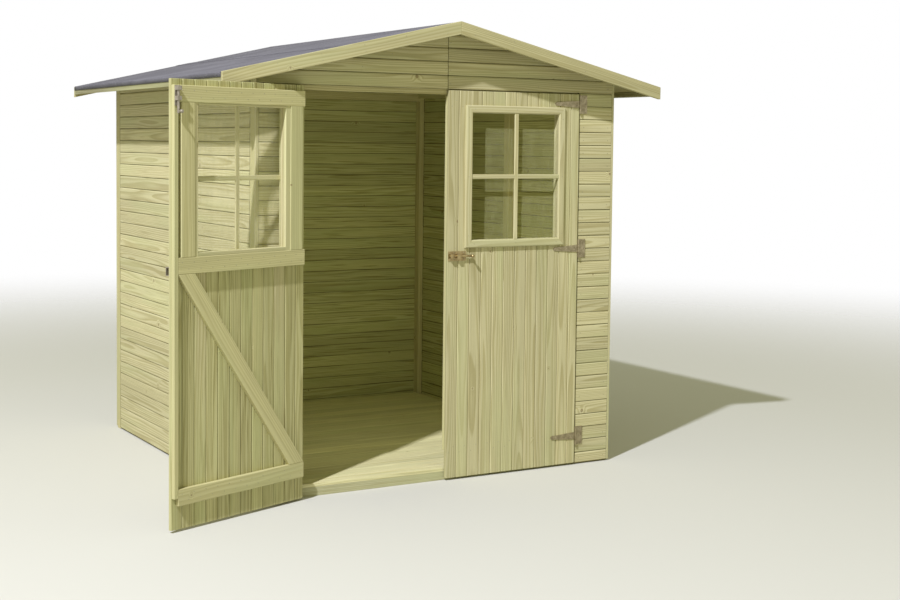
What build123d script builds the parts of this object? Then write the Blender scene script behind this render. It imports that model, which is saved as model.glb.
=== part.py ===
from build123d import *
import math
import os

# Wooden tool shed with a low gable roof and a glazed double door.
# Millimetres. X runs to the right along the front wall, Y from the front to the back, Z is up.
# The origin is on the ground at the middle of the wall plan, under the middle floor bearer.
# The left door leaf is drawn standing open and the right one closed, which is the rest pose.

# Overall plan and roof
WIDTH = 1800.0
DEPTH = 1840.0
ROOF_PITCH = 13.0
ROOF_OVERHANG_SIDE = 187.0
ROOF_OVERHANG_END = 110.0

# Cladding: every board line on walls and doors has the same pitch
BOARD_THICKNESS = 16.0
LINE_PITCH = 59.7
GROOVE_DEPTH = 3.5
GROOVE_BEVEL = 8.0
WALL_BOARDS_BOTTOM = 8.0
CORNER_STRIP_WIDTH = 12.0

# Wall framing
TIMBER = 44.0
HALF_STUD = 22.0
SIDE_STUD_SHIFT = -85.0

# Floor
BEARER_HEIGHT = 38.0
BEARER_WIDTH = 44.0
BEARER_TO_RAIL = 28.0
FLOOR_THICKNESS = 16.0
FLOOR_LINE_PITCH = 89.0
FLOOR_GROOVE = 2.0

# Doorway and leaves
FRONT_STRIP_WIDTH = 195.0
DOORWAY_TOP = 1728.0
RIDGE_ABOVE_DOORWAY = 286.0
LEAF_BOTTOM = 10.0
LEAF_TOP_GAP = 6.0
LEAF_SIDE_GAP = 6.0
LEAF_MEETING_GAP = 8.0
LEAF_PROUD = 5.0
LEAF_FRAMING_THICKNESS = 18.0
HEAD_STOP_HEIGHT = 24.0
HEAD_STOP_THICKNESS = 12.0
FIRST_GROOVE = 53.0

# Timbers on the inner face of a leaf, measured up from the leaf's bottom edge
LEDGE_WIDTH = 64.0
TOP_LEDGE_BOTTOM = 1624.0
MIDDLE_LEDGE_BOTTOM = 976.0
BOTTOM_LEDGE_BOTTOM = 94.0
BATTEN_BOTTOM = 124.0
BATTEN_WIDTH = 20.0
BATTEN_TO_STILE = 14.0
STILE_WIDTH = 68.0
BRACE_WIDTH = 66.0
FRAMING_EDGE_INSET = 12.0
STILE_EDGE_INSET = 25.0

# Window in a leaf, measured from the leaf's own edges
WINDOW_MARGIN = 118.0
WINDOW_BOTTOM = 1055.0
WINDOW_TOP = 1616.0
WINDOW_TRIM_WIDTH = 34.0
WINDOW_TRIM_THICKNESS = 12.0
GLAZING_BAR_WIDTH = 20.0
GLAZING_BAR_SET_BACK = 2.0
GLASS_THICKNESS = 4.0
GLASS_PROUD = 2.0

# Roof
ROOF_DECK_THICKNESS = 16.0
FELT_THICKNESS = 3.0
FELT_BELOW_BARGEBOARD = 2.0
FELT_TURN_DOWN = 16.0
BARGEBOARD_WIDTH = 55.0
BARGEBOARD_THICKNESS = 18.0
FASCIA_THICKNESS = 16.0
FASCIA_HEIGHT = 38.0
PURLIN_HEIGHT = 60.0
PURLIN_X = 450.0

# Hinges
HINGE_HEIGHTS = (1676.0, 1012.0, 137.0)
HINGE_PIN_RADIUS = 2.5
HINGE_PIN_CLEARANCE = 0.05
HINGE_KNUCKLE_RADIUS = 4.5
HINGE_PIN_PROUD = 4.0
HINGE_PLATE_HEIGHT = 84.0
HINGE_PLATE_WIDTH = 38.0
HINGE_METAL = 3.0
STRAP_LENGTH = 138.0
STRAP_ROOT_HEIGHT = 34.0
STRAP_TIP_HEIGHT = 16.0
CENTRE_KNUCKLE_HEIGHT = 36.0
KNUCKLE_END_GAP = 1.0

# Bolts
BOLT_RADIUS = 5.0
BOLT_GUIDE_CLEARANCE = 0.5
BOLT_GUIDE_WALL = 4.0
BOLT_PLATE_THICKNESS = 2.5
BOLT_STAND_OFF = 9.0
BOLT_GUIDE_LENGTH = 16.0
BOLT_KNOB_RADIUS = 7.0
BOLT_KNOB_LENGTH = 11.0
BOLT_KNOB_CHAMFER = 2.5
BOLT_KNOB_STEM = 24.0
LATCH_BELOW_WINDOW = 14.0
LATCH_LENGTH = 118.0
LATCH_PLATE_LENGTH = 90.0
LATCH_PLATE_HEIGHT = 42.0
TOP_BOLT_LENGTH = 104.0
TOP_BOLT_BELOW_STOP = 8.0
TOP_BOLT_PLATE_LENGTH = 76.0
TOP_BOLT_PLATE_WIDTH = 19.0

# Left leaf in the rest pose, degrees from closed
LEFT_OPEN_ANGLE = 160.0

# Derived planes and levels
HALF_WIDTH = WIDTH / 2
HALF_DEPTH = DEPTH / 2
DOORWAY_HALF = HALF_WIDTH - FRONT_STRIP_WIDTH
CLADDING_HALF = HALF_WIDTH - CORNER_STRIP_WIDTH
TAN_PITCH = math.tan(math.radians(ROOF_PITCH))
COS_PITCH = math.cos(math.radians(ROOF_PITCH))
INNER_X = HALF_WIDTH - BOARD_THICKNESS - TIMBER
INNER_Y = HALF_DEPTH - BOARD_THICKNESS - TIMBER
FRAME_FRONT = -HALF_DEPTH + BOARD_THICKNESS
BEARER_SPACING = (INNER_X - BEARER_TO_RAIL - BEARER_WIDTH / 2) / 2
ROOF_HALF = HALF_WIDTH + ROOF_OVERHANG_SIDE
BARGE_FACE = HALF_DEPTH + ROOF_OVERHANG_END
DECK_END = BARGE_FACE - BARGEBOARD_THICKNESS
RIDGE_TOP = DOORWAY_TOP + RIDGE_ABOVE_DOORWAY
FELT_APEX = RIDGE_TOP - FELT_BELOW_BARGEBOARD
DECK_APEX = FELT_APEX - FELT_THICKNESS / COS_PITCH
UNDER_APEX = DECK_APEX - ROOF_DECK_THICKNESS / COS_PITCH
FLOOR_TOP = BEARER_HEIGHT + FLOOR_THICKNESS
LEAF_FACE = -HALF_DEPTH - LEAF_PROUD
LEAF_BACK = LEAF_FACE + BOARD_THICKNESS
LEAF_TOP = DOORWAY_TOP - LEAF_TOP_GAP
LEAF_INNER_EDGE = LEAF_MEETING_GAP / 2
LEAF_OUTER_EDGE = DOORWAY_HALF - LEAF_SIDE_GAP
LEAF_WIDTH = LEAF_OUTER_EDGE - LEAF_INNER_EDGE
FRAMING_BACK = LEAF_BACK + LEAF_FRAMING_THICKNESS
HEAD_STOP_BOTTOM = DOORWAY_TOP - HEAD_STOP_HEIGHT
WINDOW_TRIM_BOTTOM = LEAF_BOTTOM + WINDOW_BOTTOM - WINDOW_TRIM_WIDTH
LATCH_HEIGHT = WINDOW_TRIM_BOTTOM - LATCH_BELOW_WINDOW - LATCH_PLATE_HEIGHT / 2
PIN_X = DOORWAY_HALF - LEAF_SIDE_GAP / 2
PIN_Y = LEAF_FACE - HINGE_PIN_PROUD


def block(x_range, y_range, z_range):
    """Return a rectangular solid between the given limits."""
    size = [high - low for low, high in (x_range, y_range, z_range)]
    centre = [(low + high) / 2 for low, high in (x_range, y_range, z_range)]
    return Pos(*centre) * Box(*size)


def prism(points, direction):
    """Return the solid swept by a closed polygon of 3-D points."""
    face = Face(Wire.make_polygon([Vector(*point) for point in points], close=True))
    return Solid.extrude(face, Vector(*direction))


def cylinder_x(x_range, y, z, radius):
    """Return a round bar that runs along X."""
    length = x_range[1] - x_range[0]
    middle = (x_range[0] + x_range[1]) / 2
    return Pos(middle, y, z) * Rot(0, 90, 0) * Cylinder(radius, length)


def cylinder_y(x, y_range, z, radius):
    """Return a round bar that runs along Y."""
    length = y_range[1] - y_range[0]
    middle = (y_range[0] + y_range[1]) / 2
    return Pos(x, middle, z) * Rot(90, 0, 0) * Cylinder(radius, length)


def cylinder_z(x, y, z_range, radius):
    """Return an upright round bar."""
    length = z_range[1] - z_range[0]
    middle = (z_range[0] + z_range[1]) / 2
    return Pos(x, y, middle) * Cylinder(radius, length)


def under_roof(x):
    """Return the height of the roof deck's underside at x."""
    return UNDER_APEX - abs(x) * TAN_PITCH


def save(node, solids):
    """Write one node's solids to its STEP file."""
    shapes = []
    for solid in solids:
        shapes.extend(solid.solids())
    result = shapes[0] if len(shapes) == 1 else Compound(shapes)
    export_step(result, os.path.join("parts", node + ".step"))


def mirrored(solids):
    """Return the solids mirrored to the other side of the shed's middle plane."""
    return [mirror(solid, about=Plane.YZ) for solid in solids]


def board_outline(bottom, top):
    """Return (depth, height) points of shiplap boards: each line is a shadow step."""
    points = [(BOARD_THICKNESS, bottom), (0.0, bottom)]
    count = int((DOORWAY_TOP - bottom) / LINE_PITCH)
    level = DOORWAY_TOP - count * LINE_PITCH
    while level < top - 1.0:
        if level > bottom + GROOVE_BEVEL + 1.0:
            points.append((0.0, level - GROOVE_BEVEL))
            points.append((GROOVE_DEPTH, level))
            points.append((0.0, level))
        level += LINE_PITCH
    points.append((0.0, top))
    points.append((BOARD_THICKNESS, top))
    return points


def end_wall_boards(x_range, bottom, top, front):
    """Return boards of the front or back wall, with the grooves facing out."""
    side = -1.0 if front else 1.0
    outline = [(x_range[0], side * (HALF_DEPTH - depth), z) for depth, z in board_outline(bottom, top)]
    return prism(outline, (x_range[1] - x_range[0], 0, 0))


def side_wall_boards():
    """Return boards of the right side wall, between the end walls."""
    outline = [(HALF_WIDTH - depth, -INNER_Y, z) for depth, z in board_outline(WALL_BOARDS_BOTTOM, RIDGE_TOP)]
    return prism(outline, (0, 2 * INNER_Y, 0))


def roof_space():
    """Return everything above the underside of the roof deck."""
    reach = WIDTH
    profile = [
        (-reach, -DEPTH, under_roof(reach)),
        (0, -DEPTH, under_roof(0)),
        (reach, -DEPTH, under_roof(reach)),
        (reach, -DEPTH, 2 * RIDGE_TOP),
        (-reach, -DEPTH, 2 * RIDGE_TOP),
    ]
    return prism(profile, (0, 2 * DEPTH, 0))


def sloped_slab(x_range, y_range, bottom_apex, top_apex):
    """Return a slab on the right roof slope between two parallel sloped planes."""
    x_low, x_high = x_range
    profile = [
        (x_low, y_range[0], bottom_apex - x_low * TAN_PITCH),
        (x_high, y_range[0], bottom_apex - x_high * TAN_PITCH),
        (x_high, y_range[0], top_apex - x_high * TAN_PITCH),
        (x_low, y_range[0], top_apex - x_low * TAN_PITCH),
    ]
    return prism(profile, (0, y_range[1] - y_range[0], 0))


def make_floor():
    """Build the bearers, the joists at both ends and the boards on them."""
    bearers = []
    for step in range(-2, 3):
        middle = step * BEARER_SPACING
        x_range = (middle - BEARER_WIDTH / 2, middle + BEARER_WIDTH / 2)
        bearers.append(block(x_range, (-INNER_Y, INNER_Y - TIMBER), (0, BEARER_HEIGHT)))
    save("floor_bearers", bearers)
    front = block((-DOORWAY_HALF, DOORWAY_HALF), (FRAME_FRONT, -INNER_Y), (0, BEARER_HEIGHT))
    back = block((-INNER_X, INNER_X), (INNER_Y - TIMBER, INNER_Y), (0, BEARER_HEIGHT))
    save("floor_joists", [front, back])
    boards = block((-INNER_X, INNER_X), (-INNER_Y, INNER_Y), (BEARER_HEIGHT, FLOOR_TOP))
    boards += block((-DOORWAY_HALF, DOORWAY_HALF), (FRAME_FRONT, -INNER_Y), (BEARER_HEIGHT, FLOOR_TOP))
    line = FRAME_FRONT + FLOOR_LINE_PITCH
    while line < INNER_Y - FLOOR_LINE_PITCH / 2:
        groove = (line - FLOOR_GROOVE / 2, line + FLOOR_GROOVE / 2)
        boards -= block((-INNER_X, INNER_X), groove, (FLOOR_TOP - FLOOR_GROOVE, FLOOR_TOP))
        line += FLOOR_LINE_PITCH
    save("floor_boards", [boards])


def make_walls():
    """Build the cladding of all four walls and the timber frame behind it."""
    above = roof_space()
    side = side_wall_boards() - above
    save("right_wall_boards", [side])
    save("left_wall_boards", mirrored([side]))
    back = end_wall_boards((0, CLADDING_HALF), WALL_BOARDS_BOTTOM, RIDGE_TOP, front=False) - above
    save("back_right_boards", [back])
    save("back_left_boards", mirrored([back]))
    strip = end_wall_boards((DOORWAY_HALF, CLADDING_HALF), WALL_BOARDS_BOTTOM, DOORWAY_TOP, front=True)
    save("front_right_boards", [strip])
    save("front_left_boards", mirrored([strip]))
    gable = end_wall_boards((0, CLADDING_HALF), DOORWAY_TOP, RIDGE_TOP, front=True) - above
    save("front_gable_right_boards", [gable])
    save("front_gable_left_boards", mirrored([gable]))
    corner_strips = []
    for y_range in ((-HALF_DEPTH, FRAME_FRONT), (-FRAME_FRONT, HALF_DEPTH)):
        strip = block((CLADDING_HALF, HALF_WIDTH), y_range, (WALL_BOARDS_BOTTOM, RIDGE_TOP)) - above
        corner_strips.extend([strip] + mirrored([strip]))
    save("corner_strips", corner_strips)

    side_rail_top = under_roof(HALF_WIDTH - BOARD_THICKNESS) - TIMBER
    rails = []
    studs = []
    rail_x = (INNER_X, HALF_WIDTH - BOARD_THICKNESS)
    rails.append(block(rail_x, (-INNER_Y, INNER_Y), (0, TIMBER)))
    rails.append(block(rail_x, (-INNER_Y, INNER_Y), (side_rail_top, side_rail_top + 2 * TIMBER)) - above)
    for middle in (HALF_STUD - INNER_Y, SIDE_STUD_SHIFT):
        y_range = (middle - HALF_STUD, middle + HALF_STUD)
        studs.append(block(rail_x, y_range, (TIMBER, side_rail_top)))
    save("side_wall_rails", rails + mirrored(rails))
    save("side_wall_studs", studs + mirrored(studs))

    front_y = (FRAME_FRONT, -INNER_Y)
    back_y = (INNER_Y, HALF_DEPTH - BOARD_THICKNESS)
    corner_x = (HALF_WIDTH - TIMBER, HALF_WIDTH)
    jamb_x = (DOORWAY_HALF, DOORWAY_HALF + TIMBER)
    plate_top = DOORWAY_TOP + TIMBER
    end_rails = [
        block((DOORWAY_HALF, HALF_WIDTH), front_y, (0, TIMBER)),
        block((-HALF_WIDTH, -DOORWAY_HALF), front_y, (0, TIMBER)),
        block((-HALF_WIDTH, HALF_WIDTH), front_y, (DOORWAY_TOP, plate_top)),
        block((-HALF_WIDTH, HALF_WIDTH), back_y, (0, TIMBER)),
        block((-HALF_WIDTH, HALF_WIDTH), back_y, (DOORWAY_TOP, plate_top)),
    ]
    save("end_wall_rails", end_rails)
    end_studs = []
    for x_range in (corner_x, jamb_x):
        stud = block(x_range, front_y, (TIMBER, DOORWAY_TOP))
        end_studs.extend([stud] + mirrored([stud]))
    stud = block(corner_x, back_y, (TIMBER, DOORWAY_TOP))
    end_studs.extend([stud] + mirrored([stud]))
    end_studs.append(block((-HALF_STUD, HALF_STUD), back_y, (TIMBER, DOORWAY_TOP)))
    for y_range in (front_y, back_y):
        king_post = block((-HALF_STUD, HALF_STUD), y_range, (plate_top, RIDGE_TOP)) - above
        end_studs.append(king_post)
    save("end_wall_studs", end_studs)
    rafters = []
    plate = block((-WIDTH, WIDTH), (-DEPTH, DEPTH), (0, plate_top))
    for y_range in (front_y, back_y):
        slab = sloped_slab((HALF_STUD, HALF_WIDTH), y_range, UNDER_APEX - TIMBER / COS_PITCH, UNDER_APEX)
        rafters.append(slab - plate)
    save("gable_rafters", rafters + mirrored(rafters))
    stop_y = (FRAME_FRONT, FRAME_FRONT + HEAD_STOP_THICKNESS)
    stop = block((-DOORWAY_HALF, DOORWAY_HALF), stop_y, (HEAD_STOP_BOTTOM, DOORWAY_TOP))
    save("door_head_stop", [stop])


def make_roof():
    """Build purlins, boarded decks, felt, eaves fascias and bargeboards."""
    above = roof_space()
    ridge_bottom = under_roof(HALF_STUD) - PURLIN_HEIGHT
    ridge = block((-HALF_STUD, HALF_STUD), (-INNER_Y, INNER_Y), (ridge_bottom, RIDGE_TOP)) - above
    purlin_x = (PURLIN_X - HALF_STUD, PURLIN_X + HALF_STUD)
    purlin_bottom = under_roof(purlin_x[1]) - PURLIN_HEIGHT
    purlin = block(purlin_x, (-INNER_Y, INNER_Y), (purlin_bottom, RIDGE_TOP)) - above
    save("roof_purlins", [ridge, purlin] + mirrored([purlin]))
    deck_edge = ROOF_HALF - FASCIA_THICKNESS
    deck = sloped_slab((0, deck_edge), (-DECK_END, DECK_END), UNDER_APEX, DECK_APEX)
    save("right_roof_deck", [deck])
    save("left_roof_deck", mirrored([deck]))
    felt_edge = ROOF_HALF + FELT_THICKNESS
    felt = sloped_slab((0, felt_edge), (-DECK_END, DECK_END), DECK_APEX, FELT_APEX)
    felt += sloped_slab((ROOF_HALF, felt_edge), (-DECK_END, DECK_END), DECK_APEX - FELT_TURN_DOWN, FELT_APEX)
    save("right_roof_felt", [felt])
    save("left_roof_felt", mirrored([felt]))
    fascia = sloped_slab((deck_edge, ROOF_HALF), (-DECK_END, DECK_END), DECK_APEX - FASCIA_HEIGHT, DECK_APEX)
    save("eaves_fascias", [fascia] + mirrored([fascia]))
    lower = RIDGE_TOP - BARGEBOARD_WIDTH / COS_PITCH
    front = sloped_slab((0, ROOF_HALF), (-BARGE_FACE, -DECK_END), lower, RIDGE_TOP)
    save("front_right_bargeboard", [front])
    save("front_left_bargeboard", mirrored([front]))
    back = sloped_slab((0, ROOF_HALF), (DECK_END, BARGE_FACE), lower, RIDGE_TOP)
    save("back_right_bargeboard", [back])
    save("back_left_bargeboard", mirrored([back]))


def leaf_boards():
    """Return the upright boards of the closed right leaf with the window cut through."""
    boards = block((LEAF_INNER_EDGE, LEAF_OUTER_EDGE), (LEAF_FACE, LEAF_BACK), (LEAF_BOTTOM, LEAF_TOP))
    line = LEAF_INNER_EDGE + FIRST_GROOVE
    while line < LEAF_OUTER_EDGE - GROOVE_BEVEL:
        for face, into in ((LEAF_FACE, 1), (LEAF_BACK, -1)):
            notch = [
                (line - GROOVE_DEPTH, face - into, LEAF_BOTTOM),
                (line + GROOVE_DEPTH, face - into, LEAF_BOTTOM),
                (line, face + into * GROOVE_DEPTH, LEAF_BOTTOM),
            ]
            boards -= prism(notch, (0, 0, LEAF_TOP - LEAF_BOTTOM))
        line += LINE_PITCH
    return boards - window_space(0.0)


def window_limits(grow):
    """Return the x and z limits of the window opening, grown by a margin."""
    x_range = (LEAF_INNER_EDGE + WINDOW_MARGIN - grow, LEAF_OUTER_EDGE - WINDOW_MARGIN + grow)
    z_range = (LEAF_BOTTOM + WINDOW_BOTTOM - grow, LEAF_BOTTOM + WINDOW_TOP + grow)
    return x_range, z_range


def window_space(grow):
    """Return the space of the window opening through the whole leaf."""
    x_range, z_range = window_limits(grow)
    return block(x_range, (LEAF_FACE - 50, FRAMING_BACK + 50), z_range)


def bar_cross(y_range):
    """Return the upright and the level glazing bar between two planes."""
    x_range, z_range = window_limits(0.0)
    half = GLAZING_BAR_WIDTH / 2
    middle_x = sum(x_range) / 2
    middle_z = sum(z_range) / 2
    upright = block((middle_x - half, middle_x + half), y_range, z_range)
    level = block(x_range, y_range, (middle_z - half, middle_z + half))
    return upright + level


def glass_planes():
    """Return the front and back plane of the glass."""
    front = LEAF_FACE - GLASS_PROUD
    return front, front + GLASS_THICKNESS


def leaf_window_frame():
    """Return the trim round the window with its crossed glazing bars."""
    x_range, z_range = window_limits(WINDOW_TRIM_WIDTH)
    trim = block(x_range, (LEAF_FACE - WINDOW_TRIM_THICKNESS, LEAF_FACE), z_range) - window_space(0.0)
    bar_face = LEAF_FACE - WINDOW_TRIM_THICKNESS + GLAZING_BAR_SET_BACK
    return trim + bar_cross((bar_face, glass_planes()[0]))


def leaf_framing():
    """Return ledges, stiles and meeting batten as one frame."""
    y_range = (LEAF_BACK, FRAMING_BACK)
    batten_edge = LEAF_INNER_EDGE + BATTEN_WIDTH
    batten_top = LEAF_BOTTOM + TOP_LEDGE_BOTTOM + LEDGE_WIDTH
    frame = block((LEAF_INNER_EDGE, batten_edge), y_range, (LEAF_BOTTOM + BATTEN_BOTTOM, batten_top))
    for bottom in (TOP_LEDGE_BOTTOM, MIDDLE_LEDGE_BOTTOM, BOTTOM_LEDGE_BOTTOM):
        z_range = (LEAF_BOTTOM + bottom, LEAF_BOTTOM + bottom + LEDGE_WIDTH)
        frame += block((batten_edge, LEAF_OUTER_EDGE - FRAMING_EDGE_INSET), y_range, z_range)
    stile_z = (LEAF_BOTTOM + MIDDLE_LEDGE_BOTTOM, LEAF_BOTTOM + TOP_LEDGE_BOTTOM)
    free_stile = batten_edge + BATTEN_TO_STILE
    hinge_stile = LEAF_OUTER_EDGE - STILE_EDGE_INSET
    frame += block((free_stile, free_stile + STILE_WIDTH), y_range, stile_z)
    frame += block((hinge_stile - STILE_WIDTH, hinge_stile), y_range, stile_z)
    return frame


def leaf_brace():
    """Return the diagonal brace between the middle and the bottom ledge."""
    low = LEAF_BOTTOM + BOTTOM_LEDGE_BOTTOM + LEDGE_WIDTH
    high = LEAF_BOTTOM + MIDDLE_LEDGE_BOTTOM
    top_x = LEAF_INNER_EDGE + BATTEN_WIDTH
    rise = high - low
    run = LEAF_OUTER_EDGE - FRAMING_EDGE_INSET - top_x
    width = BRACE_WIDTH / math.cos(math.atan2(run - BRACE_WIDTH, rise))
    outline = [
        (top_x, LEAF_BACK, high),
        (top_x + width, LEAF_BACK, high),
        (top_x + run, LEAF_BACK, low),
        (top_x + run - width, LEAF_BACK, low),
    ]
    return prism(outline, (0, LEAF_FRAMING_THICKNESS, 0))


def leaf_glass():
    """Return the glass pane behind the glazing bars."""
    x_range, z_range = window_limits(0.0)
    return block(x_range, glass_planes(), z_range)


def hinge_plates():
    """Return the wall plates of the right leaf's three hinges with their pins."""
    plates = []
    wall = -HALF_DEPTH
    for height in HINGE_HEIGHTS:
        z_range = (height - HINGE_PLATE_HEIGHT / 2, height + HINGE_PLATE_HEIGHT / 2)
        plate = block((PIN_X + 4.0, PIN_X + 4.0 + HINGE_PLATE_WIDTH), (wall - HINGE_METAL, wall), z_range)
        plate += block((PIN_X, PIN_X + 6.0), (PIN_Y, wall - 1.0), z_range)
        plate += cylinder_z(PIN_X, PIN_Y, z_range, HINGE_KNUCKLE_RADIUS)
        half = CENTRE_KNUCKLE_HEIGHT / 2 + KNUCKLE_END_GAP
        room = block((PIN_X - 20, PIN_X + 9), (PIN_Y - 20, wall), (height - half, height + half))
        plate -= room
        plate += cylinder_z(PIN_X, PIN_Y, z_range, HINGE_PIN_RADIUS)
        plates.append(plate)
    return plates


def hinge_straps():
    """Return the tapered straps of the right leaf's three hinges."""
    straps = []
    for height in HINGE_HEIGHTS:
        root = STRAP_ROOT_HEIGHT / 2
        tip = STRAP_TIP_HEIGHT / 2
        tip_x = PIN_X - STRAP_LENGTH + tip
        outline = [
            (PIN_X, LEAF_FACE, height - root),
            (PIN_X, LEAF_FACE, height + root),
            (tip_x, LEAF_FACE, height + tip),
            (tip_x, LEAF_FACE, height - tip),
        ]
        strap = prism(outline, (0, -HINGE_METAL, 0))
        strap += cylinder_y(tip_x, (LEAF_FACE - HINGE_METAL, LEAF_FACE), height, tip)
        half = CENTRE_KNUCKLE_HEIGHT / 2
        strap += cylinder_z(PIN_X, PIN_Y, (height - half, height + half), HINGE_KNUCKLE_RADIUS)
        hole = cylinder_z(PIN_X, PIN_Y, (height - 50, height + 50), HINGE_PIN_RADIUS + HINGE_PIN_CLEARANCE)
        straps.append(strap - hole)
    return straps


def bolt_knob(x, y, z, outwards):
    """Return a bolt's turned knob on its stem, which points along Y from the bolt's axis."""
    stem_end = y + outwards * BOLT_KNOB_STEM
    knob_start = stem_end - outwards * BOLT_KNOB_LENGTH
    head = cylinder_y(x, sorted((knob_start, stem_end)), z, BOLT_KNOB_RADIUS)
    head = chamfer(head.edges().filter_by(GeomType.CIRCLE), BOLT_KNOB_CHAMFER)
    return cylinder_y(x, sorted((y, knob_start)), z, BOLT_RADIUS - 1.0) + head


def latch_axis():
    """Return y and z of the latch bolt, whose bolt slides along X."""
    return LEAF_FACE - BOLT_PLATE_THICKNESS - BOLT_STAND_OFF, LATCH_HEIGHT


def latch_guides():
    """Return the latch plate and its two guides on the closed right leaf."""
    y, z = latch_axis()
    start = LEAF_INNER_EDGE + 2.0
    plate_y = (LEAF_FACE - BOLT_PLATE_THICKNESS, LEAF_FACE)
    half = LATCH_PLATE_HEIGHT / 2
    guides = block((start, start + LATCH_PLATE_LENGTH), plate_y, (z - half, z + half))
    outer = BOLT_RADIUS + BOLT_GUIDE_WALL
    for offset in (2.0, 36.0):
        x_range = (start + offset, start + offset + BOLT_GUIDE_LENGTH)
        guides += block(x_range, (y - outer, plate_y[1]), (z - outer, z + outer))
    bore = cylinder_x((start - 10, start + LATCH_PLATE_LENGTH + 10), y, z, BOLT_RADIUS + BOLT_GUIDE_CLEARANCE)
    return guides - bore


def latch_bolt():
    """Return the sliding bolt of the latch with its knob."""
    y, z = latch_axis()
    start = LEAF_INNER_EDGE + 1.0
    bolt = cylinder_x((start, start + LATCH_LENGTH), y, z, BOLT_RADIUS)
    knob_x = start + LATCH_LENGTH - BOLT_KNOB_RADIUS
    return bolt + bolt_knob(knob_x, y, z, -1)


def left_keeper():
    """Return the staple on the left leaf that takes the latch bolt, leaf closed."""
    y, z = latch_axis()
    x_range = (-LEAF_INNER_EDGE - 30.0, -LEAF_INNER_EDGE - 6.0)
    inside = 14.0
    wall = 3.0
    bridge_y = y - BOLT_RADIUS - 5.0
    staple = block(x_range, (bridge_y - wall, LEAF_FACE), (z - inside - wall, z + inside + wall))
    plate_face = LEAF_FACE - BOLT_PLATE_THICKNESS
    return staple - block((x_range[0] - 1, x_range[1] + 1), (bridge_y, plate_face), (z - inside, z + inside))


def top_bolt_axis():
    """Return x and y of the left leaf's upright bolt, leaf closed."""
    return -LEAF_INNER_EDGE - BATTEN_WIDTH / 2, FRAMING_BACK + BOLT_PLATE_THICKNESS + BOLT_STAND_OFF


def top_bolt_guides():
    """Return the plate and guides of the left leaf's upright bolt, leaf closed."""
    x, y = top_bolt_axis()
    top = LEAF_BOTTOM + TOP_LEDGE_BOTTOM + LEDGE_WIDTH - 2.0
    half = TOP_BOLT_PLATE_WIDTH / 2
    plate_y = (FRAMING_BACK, FRAMING_BACK + BOLT_PLATE_THICKNESS)
    guides = block((x - half, x + half), plate_y, (top - TOP_BOLT_PLATE_LENGTH, top))
    outer = BOLT_RADIUS + BOLT_GUIDE_WALL
    for low in (top - 2.0 - BOLT_GUIDE_LENGTH, top - 24.0 - 2 * BOLT_GUIDE_LENGTH):
        guides += block((x - outer, x + outer), (FRAMING_BACK, y + outer), (low, low + BOLT_GUIDE_LENGTH))
    bore = cylinder_z(x, y, (top - 2 * TOP_BOLT_LENGTH, top + 10), BOLT_RADIUS + BOLT_GUIDE_CLEARANCE)
    return guides - bore


def top_bolt():
    """Return the left leaf's upright bolt with its knob, leaf closed."""
    x, y = top_bolt_axis()
    top = HEAD_STOP_BOTTOM - TOP_BOLT_BELOW_STOP
    bolt = cylinder_z(x, y, (top - TOP_BOLT_LENGTH, top), BOLT_RADIUS)
    knob_z = top - TOP_BOLT_LENGTH + BOLT_KNOB_RADIUS
    return bolt + bolt_knob(x, y, knob_z, 1)


def opened(solids):
    """Swing solids of the closed left leaf to its open rest position."""
    hinge = Pos(-PIN_X, PIN_Y, 0) * Rot(0, 0, -LEFT_OPEN_ANGLE) * Pos(PIN_X, -PIN_Y, 0)
    return [hinge * solid for solid in solids]


def make_doors():
    """Build both leaves; the left one mirrors the right and stands open."""
    pieces = {
        "boards": [leaf_boards()],
        "framing": [leaf_framing()],
        "brace": [leaf_brace()],
        "window_frame": [leaf_window_frame()],
        "glass": [leaf_glass()],
        "hinge_straps": hinge_straps(),
    }
    for name, solids in pieces.items():
        save("right_door_" + name, solids)
        save("left_door_" + name, opened(mirrored(solids)))
    plates = hinge_plates()
    save("hinge_plates", plates + mirrored(plates))
    save("right_door_latch_guides", [latch_guides()])
    save("latch_bolt", [latch_bolt()])
    save("left_door_bolt_fittings", opened([left_keeper(), top_bolt_guides()]))
    save("top_bolt", opened([top_bolt()]))


def main():
    """Build every node of the shed."""
    os.makedirs("parts", exist_ok=True)
    make_floor()
    make_walls()
    make_roof()
    make_doors()


main()
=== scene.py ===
import logging
import math
import random
from dataclasses import dataclass
from enum import Enum
from typing import Callable, Iterable, Sequence

import bmesh
import bpy
from mathutils import Matrix, Vector


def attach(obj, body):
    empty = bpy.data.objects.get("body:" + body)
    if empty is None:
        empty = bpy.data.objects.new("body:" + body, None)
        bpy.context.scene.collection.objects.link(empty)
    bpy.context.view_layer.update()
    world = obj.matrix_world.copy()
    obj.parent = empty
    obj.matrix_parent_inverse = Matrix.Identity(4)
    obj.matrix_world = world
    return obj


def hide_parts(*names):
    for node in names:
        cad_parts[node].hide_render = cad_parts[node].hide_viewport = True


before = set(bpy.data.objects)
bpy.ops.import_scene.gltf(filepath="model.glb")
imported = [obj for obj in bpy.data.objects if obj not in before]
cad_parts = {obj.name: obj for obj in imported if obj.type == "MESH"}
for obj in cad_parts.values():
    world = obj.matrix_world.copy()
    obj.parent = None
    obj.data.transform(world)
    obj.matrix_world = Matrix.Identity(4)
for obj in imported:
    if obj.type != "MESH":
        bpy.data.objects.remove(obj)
log = logging.getLogger("shed")

Point2 = tuple[float, float]
Mark = tuple[float, float, float]
Colour = tuple[float, float, float]
Zone = tuple[float, float, float, float]
Length = float | Callable[[float, float], float]
Spot = tuple[Vector, Vector]


# Sizes

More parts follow.
